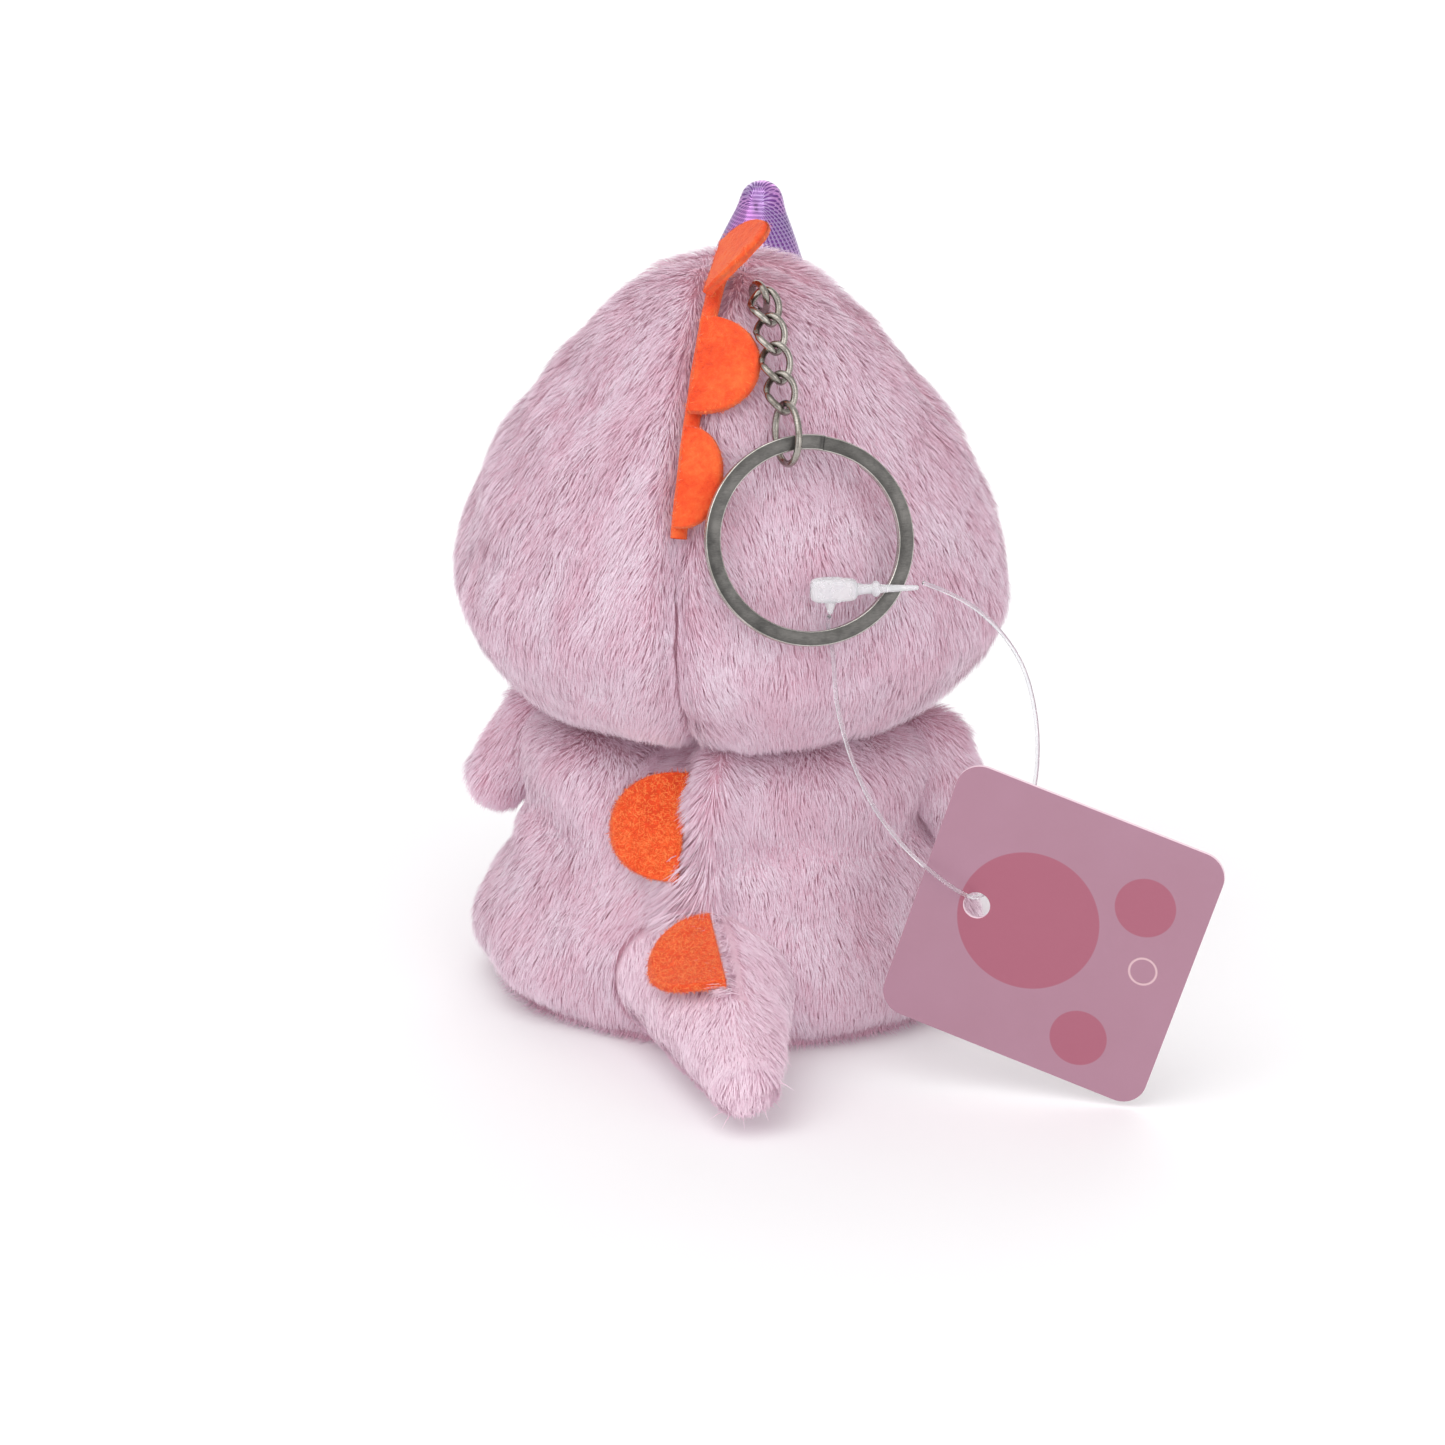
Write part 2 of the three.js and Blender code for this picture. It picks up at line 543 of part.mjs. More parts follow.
strip.applyMatrix4(new THREE.Matrix4().makeBasis(
  new THREE.Vector3(0, 1, 0), new THREE.Vector3(0, 0, 1), new THREE.Vector3(1, 0, 0),
)).translate(-FELT / 2, 0, 0);
add('crest_strip', solid(strip), ORANGE_FELT);

// Mouth: one embroidered stitch line on the face.
class Smile extends THREE.Curve {
  getPoint(t, target = new THREE.Vector3()) {
    const across = 2 * t - 1;
    const z = MOUTH.height + MOUTH.rise * across ** 2;
    const radius = radiusAt(HEAD, z);
    const x = MOUTH.halfWidth * across;
    return target.set(x, -Math.sqrt(radius ** 2 - x ** 2) * HEAD.depth - MOUTH.proud, z);
  }
}
const stitch = new THREE.Shape().absarc(0, 0, MOUTH.thread, 0, 2 * Math.PI);
add('mouth_stitch', solid(new THREE.ExtrudeGeometry(stitch, {
  extrudePath: new Smile(), steps: 8, curveSegments: 3, bevelEnabled: false,
})), THREAD);

// Chain: the buried link, four curb links and the plain end link.
const plainLink = (length, width) => wireLoop(
  new LinkCurve((length - CHAIN.wire) / 2, (width - CHAIN.wire) / 2, 0, 0), CHAIN.wire / 2,
);
const anchor = add('anchor_link', plainLink(linkLength, CHAIN.width), NICKEL);
anchor.position.copy(anchorCentre);
anchor.quaternion.copy(anchorTurn);
for (let i = 0; i < CHAIN.links; i += 1) {
  const link = add(`chain_link_${i + 1}`, curbLink, NICKEL);
  link.position.copy(pivots[i]).lerp(pivots[i + 1], 0.5);
  link.quaternion.copy(linkFrame(pivots[i], pivots[i + 1]));
}
const endFrame = linkFrame(pivots[CHAIN.links], pivots[CHAIN.links + 1]);
const endOval = plainLink(END_LINK.length, END_LINK.width).rotateZ(radians(END_LINK.tilt));
const endLink = add('end_link', endOval, NICKEL);
const endUp = new THREE.Vector3(0, 0, 1).applyQuaternion(endFrame);
endLink.position.copy(pivots[CHAIN.links])
  .addScaledVector(endUp, -(END_LINK.length - CHAIN.wire) / 2 + CHAIN.wire / 2 + CHAIN.play / 2);
endLink.quaternion.copy(endFrame);

// Split ring: it leans on the back of the head, its plane turned to the head's flank.
const ringNormal = new THREE.Vector3(
  -Math.sin(radians(RING.turnOut)) * Math.cos(radians(RING.leanBack)),
  Math.cos(radians(RING.turnOut)) * Math.cos(radians(RING.leanBack)),
  Math.sin(radians(RING.leanBack)),
);
const ringLevel = new THREE.Vector3(Math.cos(radians(RING.turnOut)), Math.sin(radians(RING.turnOut)), 0);
const ringUp = ringNormal.clone().cross(ringLevel).normalize();
if (ringUp.z < 0) ringUp.multiplyScalar(-1);
const ringPivot = pivots[CHAIN.links + 1];
const swing = radians(RING.swing);
const ringDown = ringUp.clone().multiplyScalar(-Math.cos(swing));
ringDown.addScaledVector(ringLevel, -Math.sin(swing));
const ringCentre = ringPivot.clone().addScaledVector(ringDown, RING.radius - RING.grip);
const ring = new THREE.Group();
ring.position.copy(ringCentre);
ring.quaternion.setFromRotationMatrix(new THREE.Matrix4().makeBasis(
  ringLevel.clone().negate(), ringUp, ringLevel.clone().negate().cross(ringUp),
));
keychain.add(ring);
const section = new THREE.Shape();
section.moveTo(-RING.coil / 2, -RING.band / 2);
section.lineTo(RING.coil / 2, -RING.band / 2);
section.lineTo(RING.coil / 2, RING.band / 2);
section.lineTo(-RING.coil / 2, RING.band / 2);
section.closePath();
const coils = new THREE.ExtrudeGeometry(section, {
  extrudePath: new SplitCurve(), steps: 76, bevelEnabled: false,
});
add('split_ring', solid(coils.rotateZ(radians(RING.jogAt))), NICKEL, ring);

// Loop fastener: a lock housing inside the ring, whose tapered stem crosses the ring's band and runs on
// as the filament.
const fastener = new THREE.Group();
fastener.position.set(...LOCK.at);
fastener.rotation.set(radians(LOCK.lean), -radians(LOCK.rise), 0);
ring.add(fastener);
const plate = new THREE.Shape();
const [halfLength, halfHeight] = [LOCK.length / 2, LOCK.height / 2];
plate.moveTo(-halfLength + LOCK.round, -halfHeight);
plate.lineTo(halfLength - LOCK.chamfer, -halfHeight);
plate.lineTo(halfLength, -halfHeight + LOCK.chamfer);
plate.lineTo(halfLength, halfHeight - LOCK.chamfer);
plate.lineTo(halfLength - LOCK.chamfer, halfHeight);
plate.lineTo(-halfLength + LOCK.round, halfHeight);
plate.quadraticCurveTo(-halfLength, halfHeight, -halfLength, 0);
plate.quadraticCurveTo(-halfLength, -halfHeight, -halfLength + LOCK.round, -halfHeight);
const housing = new THREE.ExtrudeGeometry(plate, {
  depth: LOCK.depth - 2 * LOCK.bevel,
  bevelThickness: LOCK.bevel,
  bevelSize: LOCK.bevel,
  bevelSegments: 1,
  curveSegments: 4,
}).translate(0, 0, LOCK.bevel - LOCK.depth / 2);
const thinEnd = FILAMENT * 0.6;
const stem = new THREE.CylinderGeometry(thinEnd, LOCK.stemRadius, LOCK.stem, 8).rotateZ(-Math.PI / 2)
  .translate(halfLength + LOCK.stem / 2 - 0.1, 0, 0);
const collar = new THREE.BoxGeometry(...LOCK.collar).translate(halfLength + LOCK.collarAt, 0, 0);
const spike = new THREE.CylinderGeometry(LOCK.spikeRadius, thinEnd, LOCK.spike, 8)
  .translate(LOCK.spikeAt, -halfHeight - LOCK.spike / 2, 0);
add('loop_lock', solid(housing).add(solid(stem)).add(solid(collar)).add(solid(spike)), NYLON, fastener);

// The filament leaves the stem, passes behind the tag, comes back through its hole and runs up behind the
// ring's band to the lock's spike. Its route is in the row's frame.
const filamentRoute = new THREE.CatmullRomCurve3(FILAMENT_ROUTE.map(vec), false, 'centripetal');
const thread = new THREE.Shape().absarc(0, 0, FILAMENT / 2, 0, 2 * Math.PI);
add('loop_filament', solid(new THREE.ExtrudeGeometry(thread, {
  extrudePath: filamentRoute, steps: 72, curveSegments: 4, bevelEnabled: false,
})), NYLON);

// Hang tag: a square card with round corners, a punched hole that the filament runs through and a shallow
// die mark.
const card = new THREE.Shape();
const half = TAG.side / 2;
const cornerCentre = half - TAG.corner;
for (const [i, [x, y]] of [[1, -1], [1, 1], [-1, 1], [-1, -1]].entries()) {
  card.absarc(x * cornerCentre, y * cornerCentre, TAG.corner, radians(90 * i - 90), radians(90 * i), false);
}
card.closePath();
card.holes.push(new THREE.Path().absarc(-half + TAG.holeInset, 0, TAG.hole, 0, 2 * Math.PI, true));
const blank = new THREE.ExtrudeGeometry(card, { depth: TAG.card, bevelEnabled: false, curveSegments: 10 });
const mark = new THREE.CylinderGeometry(TAG.mark, TAG.mark, 2 * TAG.markDepth, 20).rotateX(Math.PI / 2)
  .translate(half - TAG.markInset, 0, TAG.card);
const tag = add('hang_tag', solid(blank).subtract(solid(mark)), CARD);
const tagRight = new THREE.Vector3(-Math.cos(radians(TAG.roll)), 0, -Math.sin(radians(TAG.roll)));
const tagOut = new THREE.Vector3(0, 1, 0);
tag.position.copy(vec(TAG.centre)).addScaledVector(tagOut, -TAG.card / 2);
const tagUp = tagOut.clone().cross(tagRight);
tag.quaternion.setFromRotationMatrix(new THREE.Matrix4().makeBasis(tagRight, tagUp, tagOut));

export default keychain;
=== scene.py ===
import json
import math

import bpy
import numpy as np
from mathutils import Matrix, Vector


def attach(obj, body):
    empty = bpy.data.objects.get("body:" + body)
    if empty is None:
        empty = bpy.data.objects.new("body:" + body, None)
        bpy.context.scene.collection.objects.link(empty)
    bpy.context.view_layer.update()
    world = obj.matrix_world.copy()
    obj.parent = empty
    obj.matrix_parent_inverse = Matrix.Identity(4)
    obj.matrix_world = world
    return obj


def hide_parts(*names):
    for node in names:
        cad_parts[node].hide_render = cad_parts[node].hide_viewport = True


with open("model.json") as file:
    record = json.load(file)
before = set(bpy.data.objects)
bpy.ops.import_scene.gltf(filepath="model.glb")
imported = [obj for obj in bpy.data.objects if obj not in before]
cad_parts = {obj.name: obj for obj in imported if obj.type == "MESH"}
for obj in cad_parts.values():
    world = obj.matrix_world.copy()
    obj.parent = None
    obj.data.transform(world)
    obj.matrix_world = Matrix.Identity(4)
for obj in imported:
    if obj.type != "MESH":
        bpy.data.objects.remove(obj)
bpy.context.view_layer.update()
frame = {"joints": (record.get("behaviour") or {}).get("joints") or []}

MM = 0.001
JOINTS = {j["name"]: j for j in frame["joints"]}

# ---- dimensions, in millimetres, as the frame has them -------------------------------------------
HEAD_OUTLINE = [
    (0, 34.9), (9, 35.2), (17, 36.8), (24, 39.2), (29.5, 42.8), (33.4, 47.2), (35, 52.5),
    (33.9, 59.5), (30.8, 68), (25.8, 76.5), (20, 84), (14.6, 89.4), (8.4, 93.2), (0, 94.8),
]
HEAD_DEPTH = 0.88
BODY_OUTLINE = [
    (0, 0), (26, 0), (29.6, 1.2), (32.2, 4.6), (32.6, 9), (31, 14),
    (28.2, 19.5), (25.8, 25), (23.4, 29.6), (19.5, 32.8), (12, 34), (0, 34.1),
]
BODY_DEPTH = 0.86
SIDE_SEAM_Y = -3.0
SIDE_SEAM_SLOPE = 0.182
PILE_HEIGHT = 1.35          # how far the woven backing lies inside the solids' outline

ARM = dict(root=(24.5, -1.5, 31.5), tip=(29.5, 1, 25.5), root_radius=6.6, tip_radius=5.2)
FOOT = dict(root=(15.5, -17, 10.2), tip=(18.5, -33.5, 9.2), root_radius=9.2, tip_radius=8.6)
TAIL = dict(root=(-1.5, 20, 9.6), tip=(-13.2, 47.5, 5.8), root_radius=12.6, tip_radius=5.2)
TAIL_HEIGHT = 0.76

HORN = dict(base=(0, -12.8, 86), tip=(0, -16.6, 99.4), radius=8.4, tip_radius=2.7, buried=4)
EYE = dict(turn=30, height=57, radius=3.3, dome=2.1)
MOUTH = dict(height=50.5, half_width=2.6, rise=0.9, proud=0.95, thread=0.5)

CAMERA = dict(azimuth=194, elevation=18, distance=650, lens=129.55, target=(1.0, 0.3, 33.9))
FLOOR_HALF = 3000.0

# A spine's sewn edge, how far it reaches from it, how steeply it stands in degrees, the side of the seam
# that it falls to (-1 is the creature's right), and how fast it curls down.
FELT = 1.2
FELT_FIBRE_DENSITY = 22     # loose fibres in a square millimetre
SPINES = {
    "head_spine_1": dict(edge=9.4, reach=10.2, lift=50, side=-1, curl=0.012),
    "head_spine_2": dict(edge=12.3, reach=8.4, lift=4, side=-1, curl=0.016),
    "head_spine_3": dict(edge=12.2, reach=5.6, lift=1, side=-1, curl=0.014),
    "body_spine": dict(edge=13.4, reach=10.2, lift=6, side=1, curl=0.017),
    "tail_spine": dict(edge=13.0, reach=9.2, lift=2, side=1, curl=0.03),
}
CHAIN_WIRE = 0.85
LINK_WIDTH = 4.2
LINK_PITCH = 3.9
LINK_PLAY = 0.14
LINK_TWIST = 45
ANCHOR_DOWN = (0.4, -0.74, -0.52)
ANCHOR_FORWARD = 0.6
END_LINK = dict(length=8.2, width=6.1, tilt=-72)
RING = dict(radius=12.5, band=1.8, grip=1.15, coil=0.72, split=0.12, jog=26, jog_at=78, turn_out=25,
            lean_back=18, swing=9)
LOCK = dict(at=(2.3, -6, 1.5), rise=5, lean=20, length=5.6, height=3.0, depth=2.2, stem=7.4)
TAG = dict(side=33.5, corner=3, card=0.6, hole=1.7, hole_inset=7.2, mark=1.7, mark_inset=5.2, roll=18,
           centre=(-46.8, 31, 21))
FILAMENT = 0.5
FILAMENT_ROUTE = [
    (-29.3, 24.1, 61.1), (-32.3, 22.3, 59.4), (-35.4, 20.6, 57), (-38.4, 19.5, 53.6),
    (-40.8, 19.5, 49.6), (-42.4, 20.6, 44.6), (-43, 22.2, 39), (-42.4, 24, 33.4),
    (-41, 26.2, 28.4), (-39.2, 28.6, 25.6), (-37.7, 31, 24.9), (-36.2, 33, 26),
    (-33, 33, 28), (-29, 31.2, 30.4), (-25.3, 29.6, 33.9), (-22.9, 28.9, 37.8),
    (-21.2, 28.6, 42), (-19.9, 28.3, 47), (-19.3, 27.6, 52.1), (-18.7, 26.7, 54.3),
    (-18.4, 26.5, 55.5), (-18.5, 26.9, 56.7), (-18.7, 27.3, 57.1),
]


# ---- small tools ---------------------------------------------------------------------------------
def unit(vectors):
    """Rows of an array, or one vector, at length 1."""
    vectors = np.asarray(vectors, float)
    return vectors / np.maximum(np.linalg.norm(vectors, axis=-1, keepdims=True), 1e-9)


def smoothstep(x, low, high):
    t = np.clip((x - low) / (high - low), 0, 1)
    return t * t * (3 - 2 * t)


def waves(points, scale, seed, octaves=3):
    """Smooth noise from about -1 to 1 at points in millimetres: sine waves in random directions."""
    generator = np.random.default_rng(seed)
    total = np.zeros(len(points))
    weight = 0.0
    for octave in range(octaves):
        size = scale / 1.9 ** octave
        share = 0.6 ** octave
        for _ in range(5):
            direction = unit(generator.normal(size=3)) * generator.uniform(0.7, 1.3)
            phase = generator.uniform(0, 2 * math.pi)
            total += share * np.sin(points @ direction * (2 * math.pi / size) + phase)
        weight += share * 2.2
    return total / weight


def spline(points, steps):
    """A Catmull-Rom curve through points, resampled at even distances."""
    points = np.asarray(points, float)
    padded = np.vstack([points[0], points, points[-1]])
    fine = []
    for i in range(len(points) - 1):
        p0, p1, p2, p3 = padded[i:i + 4]
        for t in np.linspace(0, 1, 40, endpoint=False):
            fine.append(0.5 * (
                2 * p1 + (p2 - p0) * t + (2 * p0 - 5 * p1 + 4 * p2 - p3) * t ** 2
                + (3 * p1 - p0 - 3 * p2 + p3) * t ** 3
            ))
    fine = np.array(fine + [points[-1]])
    lengths = np.concatenate([[0], np.cumsum(np.linalg.norm(np.diff(fine, axis=0), axis=1))])
    even = np.linspace(0, lengths[-1], steps)
    return np.column_stack([np.interp(even, lengths, fine[:, k]) for k in range(points.shape[1])])


def mesh_object(name, vertices, faces, materials, face_materials=None, normals=None, smooth=True):
    """An object in metres from vertices in millimetres and lists of faces, each list one array."""
    mesh = bpy.data.meshes.new(name)
    blocks = [np.asarray(block) for block in faces if len(block)]
    loops = np.concatenate([block.ravel() for block in blocks]).astype(np.int32)
    sizes = np.concatenate([np.full(len(block), block.shape[1]) for block in blocks]).astype(np.int32)
    starts = np.concatenate([[0], np.cumsum(sizes)[:-1]]).astype(np.int32)
    mesh.vertices.add(len(vertices))
    mesh.vertices.foreach_set("co", (np.asarray(vertices) * MM).astype(np.float32).ravel())
    mesh.loops.add(len(loops))
    mesh.loops.foreach_set("vertex_index", loops)
    mesh.polygons.add(len(sizes))
    mesh.polygons.foreach_set("loop_start", starts)
    for material in materials:
        mesh.materials.append(material)
    if face_materials is not None:
        mesh.polygons.foreach_set("material_index", np.concatenate(face_materials).astype(np.int32))
    mesh.update(calc_edges=True)
    if smooth:
        mesh.polygons.foreach_set("use_smooth", np.ones(len(sizes), bool))
    if normals is not None:
        mesh.normals_split_custom_set_from_vertices(unit(normals).astype(np.float32))
    made = bpy.data.objects.new(name, mesh)
    bpy.context.scene.collection.objects.link(made)
    return made


def grid_faces(rows, columns, close_columns=False):
    """The quads of a grid of rows x columns vertices."""
    row = np.arange(rows - 1)[:, None]
    column = np.arange(columns if close_columns else columns - 1)[None, :]
    next_row = row + 1
    next_column = (column + 1) % columns
    corners = [row * columns + column, row * columns + next_column,
               next_row * columns + next_column, next_row * columns + column]
    return np.stack([np.broadcast_to(c, (row.shape[0], column.shape[1])).ravel() for c in corners], 1)


def vertex_normals(vertices, quads):
    a, b, c, d = (vertices[quads[:, k]] for k in range(4))
    face = np.cross(c - a, d - b)
    normals = np.zeros_like(vertices)
    for k in range(4):
        np.add.at(normals, quads[:, k], face)
    return unit(normals)


def finish_piece(piece, body, nodes=()):
    """Rides a new piece on its body and hides the nodes that it stands for."""
    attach(piece, body)
    if nodes:
        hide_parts(*nodes)
    return piece


# ---- materials -----------------------------------------------------------------------------------
class Material:
    """A Principled material, with short ways to add nodes to it."""

    def __init__(self, name, color, roughness=0.6, **values):
        self.material = bpy.data.materials.new(name)
        self.material.use_nodes = True
        self.tree = self.material.node_tree
        self.shader = self.tree.nodes["Principled BSDF"]
        self.shader.inputs["Base Color"].default_value = (*color, 1)
        self.shader.inputs["Roughness"].default_value = roughness
        for socket, value in values.items():
            self.shader.inputs[socket.replace("_", " ")].default_value = value

    def node(self, kind, links=None, **settings):
        """A node, with its settings, and its inputs linked to other nodes' outputs or set to values."""
        made = self.tree.nodes.new(kind)
        for key, value in settings.items():
            setattr(made, key, value)
        for socket, source in (links or {}).items():
            if isinstance(source, bpy.types.NodeSocket):
                self.tree.links.new(source, made.inputs[socket])
            else:
                made.inputs[socket].default_value = source
        return made

    def place(self):
        return self.node("ShaderNodeTexCoord").outputs["Object"]

    def noise(self, scale, detail=4, roughness=0.6, vector=None, stretch=None):
        """Noise whose scale is in features per metre, on coordinates that may be stretched."""
        vector = vector or self.place()
        if stretch:
            vector = self.node("ShaderNodeMapping", {"Vector": vector, "Scale": stretch}).outputs[0]
        links = {"Vector": vector, "Scale": scale, "Detail": detail, "Roughness": roughness}
        return self.node("ShaderNodeTexNoise", links).outputs[0]

    def math(self, operation, *values, clamp=False):
        return self.node("ShaderNodeMath", dict(enumerate(values)), operation=operation,
                         use_clamp=clamp).outputs[0]

    def hypot(self, x, y):
        squares = self.math("MULTIPLY", x, x), self.math("MULTIPLY", y, y)
        return self.math("SQRT", self.math("ADD", *squares))

    def dot(self, vector, direction):
        made = self.node("ShaderNodeVectorMath", {0: vector, 1: tuple(direction)}, operation="DOT_PRODUCT")
        return made.outputs["Value"]

    def ramp(self, factor, stops):
        made = self.node("ShaderNodeValToRGB", {"Fac": factor})
        ramp = made.color_ramp
        while len(ramp.elements) < len(stops):
            ramp.elements.new(0.5)
        for element, (position, color) in zip(ramp.elements, stops):
            element.position = position
            element.color = (*color, 1) if hasattr(color, "__len__") else (color, color, color, 1)
        return made.outputs[0]

    def mix(self, factor, first, second):
        made = self.node("ShaderNodeMix", data_type="RGBA")
        for socket, value in ((made.inputs[0], factor), (made.inputs[6], first), (made.inputs[7], second)):
            if isinstance(value, bpy.types.NodeSocket):
                self.tree.links.new(value, socket)
            else:
                socket.default_value = (*value, 1) if hasattr(value, "__len__") else value
        return made.outputs[2]

    def link(self, **sources):
        for socket, source in sources.items():
            self.tree.links.new(source, self.shader.inputs[socket.replace("_", " ")])

    def bump(self, height, strength, distance):
        links = {"Height": height, "Strength": strength, "Distance": distance}
        self.link(Normal=self.node("ShaderNodeBump", links).outputs[0])


def backing_material(name, deep, light):
    """The woven backing and the hair roots that show between the hairs, coloured deeper than the hair as
    painted shade down in the pile.
    """
    made = Material(name, light, 0.9, Sheen_Weight=0.25, Sheen_Roughness=0.4)
    strands = made.noise(900, 6, 0.7, stretch=(1, 1, 0.35))
    patches = made.noise(110, 3)
    blend = made.math("MULTIPLY_ADD", patches, 0.55, made.math("MULTIPLY", strands, 0.5))
    made.link(Base_Color=made.ramp(blend, [(0.3, deep), (0.75, light)]))
    made.link(Roughness=made.ramp(strands, [(0.2, 0.8), (0.8, 1.0)]))
    made.bump(strands, 0.8, 0.0006)
    return made.material


def hair_material(name, color):
    """One tone of hair. The little light of its own stands for what scatters through the pile."""
    return Material(name, color, 0.75, Sheen_Weight=0.5, Sheen_Roughness=0.35,
                    Sheen_Tint=(1, 0.93, 0.96, 1), Specular_IOR_Level=0.2,
                    Emission_Color=(*color, 1), Emission_Strength=0.09).material


# Both backings are deeper than their hair: painted shade that shows down between the hairs.
PINK_BACKING = backing_material("pink_backing", (0.66, 0.33, 0.42), (0.72, 0.44, 0.54))
PALE_BACKING = backing_material("pale_backing", (0.78, 0.5, 0.6), (0.82, 0.58, 0.68))
# Tones from darkest to palest. A hair's root half takes one of the three darker and its tip one of the
# three paler: painted shade deep in the pile and painted highlight on the tips.
PINK_TONES = {
    "root": (0.7, 0.41, 0.515),
    "deep": (0.72, 0.465, 0.57),
    "middle": (0.745, 0.525, 0.625),
    "light": (0.77, 0.595, 0.69),
    "tip": (0.8, 0.665, 0.75),
}
# The pale fur has the same painted shade at the roots and painted highlight at the tips.
PALE_TONES = {
    "root": (0.81, 0.58, 0.68),
    "deep": (0.83, 0.62, 0.72),
    "middle": (0.85, 0.655, 0.75),
    "light": (0.86, 0.69, 0.78),
    "tip": (0.87, 0.72, 0.805),
}
PINK_HAIRS = [hair_material(f"pink_hair_{tone}", color) for tone, color in PINK_TONES.items()]
PALE_HAIRS = [hair_material(f"pale_hair_{tone}", color) for tone, color in PALE_TONES.items()]


# ---- plush forms ---------------------------------------------------------------------------------
class Turned:
    """A form turned round Z from an outline and narrowed from front to back."""

    def __init__(self, outline, depth, inset):
        self.depth = depth
        fine = spline(outline, 500)
        self.outer = fine
        tangent = unit(np.gradient(fine, axis=0))
        fine = fine + np.column_stack([-tangent[:, 1], tangent[:, 0]]) * inset
        self.profile = fine[fine[:, 0] > 0.3]

    def at(self, share):
        """Radius and height of the backing at shares of the outline's length."""
        along = np.linspace(0, 1, len(self.profile))
        return np.column_stack([np.interp(share, along, self.profile[:, k]) for k in (0, 1)])

    def radius(self, height):
        """The outer radius at a height: the outline's z only grows along it."""
        return np.interp(height, self.outer[:, 1], self.outer[:, 0], left=0, right=0)

    def clearance(self, points):
        """How far points lie outside the outer form, level with the floor; negative inside."""
        return np.hypot(points[:, 0], points[:, 1] / self.depth) - self.radius(points[:, 2])

    def panel(self, start, end, rows, columns, mould):
        """A panel's grid. start and end give the panel's edges as turns at each radius and height."""
        share = np.linspace(0.004, 0.996, rows)
        ring = self.at(share)
        first, last = start(ring), end(ring)
        across = np.linspace(0, 1, columns)
        turn = first[:, None] + (last - first)[:, None] * across[None, :]
        radius = ring[:, 0][:, None]
        points = np.stack([radius * np.cos(turn), radius * np.sin(turn) * self.depth,
                           np.broadcast_to(ring[:, 1][:, None], turn.shape)], -1).reshape(-1, 3)
        return mould(points), grid_faces(rows, columns)


def side_seam(form, middle):
    """The turn, on the creature's left, at which the side seam crosses each ring of a form."""
    def turn(ring):
        y = SIDE_SEAM_Y + SIDE_SEAM_SLOPE * (ring[:, 1] - middle)
        return np.arcsin(np.clip(y / np.maximum(ring[:, 0] * form.depth, 1e-6), -1, 1))
    return turn


HEAD_SEAM = dict(width=1.5, depth=1.9)
BODY_SEAM = dict(width=1.6, depth=0.4)
SIDE_SEAM = dict(width=1.4, depth=0.7)
RIDGE_AT = -2.4             # a low ridge beside the body's back seam lifts the hair over the spines' edges
RIDGE = dict(width=2.0, depth=2.6)
DIMPLE_AT = (-13, 24, 19)
DIMPLE = dict(width=4.5, depth=1.3)


def groove(distance, width, depth):
    """How far a seam draws the fabric in at a distance from it."""
    return depth * np.exp(-(distance / width) ** 2)


HEAD = Turned(HEAD_OUTLINE, HEAD_DEPTH, PILE_HEIGHT)
BODY = Turned(BODY_OUTLINE, BODY_DEPTH, PILE_HEIGHT)
HEAD_MIDDLE = (HEAD_OUTLINE[0][1] + HEAD_OUTLINE[-1][1]) / 2
BODY_MIDDLE = (BODY_OUTLINE[0][1] + BODY_OUTLINE[-1][1]) / 2


def outward(points, centre):
    return unit((points - centre) * (1, 1, 0.8))


def seam_pull(points, back_seam, middle):
    """How far the back seam and the two side seams draw a form in."""
    pull = np.where(points[:, 1] > 0, groove(points[:, 0], **back_seam), 0)
    side_y = SIDE_SEAM_Y + SIDE_SEAM_SLOPE * (points[:, 2] - middle)
    return np.maximum(pull, groove(points[:, 1] - side_y, **SIDE_SEAM))


def mould_head(points):
    """Draws the seams in and makes the stuffing a little uneven."""
    out = outward(points, (0, 0, 60))
    pull = seam_pull(points, HEAD_SEAM, HEAD_MIDDLE)
    moulded = points + out * (0.55 * waves(points, 26, 11, 2) - pull)[:, None]
    moulded[:, 2] -= 1.8 * (1 - smoothstep(points[:, 2], 36, 48))      # the head presses on the body
    return moulded


def mould_body(points):
    """The same for the body, with full shoulders that meet the head, except beside the spine."""
    out = outward(points, (0, 0, 14))
    back = points[:, 1] > 0
    pull = seam_pull(points, BODY_SEAM, BODY_MIDDLE)
    pull = pull + groove(np.linalg.norm(points - DIMPLE_AT, axis=1), **DIMPLE)
    pull = pull - np.where(back & (points[:, 2] > 16), groove(points[:, 0] - RIDGE_AT, **RIDGE), 0)
    beside_spine = back * np.exp(-((points[:, 0] - 5) / 6.5) ** 2)
    shoulders = 4.6 * smoothstep(points[:, 2], 23, 32) * (1 - 0.85 * beside_spine)
    lumps = 0.8 * waves(points, 22, 12, 2) + shoulders
    floor = smoothstep(points[:, 2], 0.5, 6)
    return points + out * ((lumps - pull) * floor)[:, None]


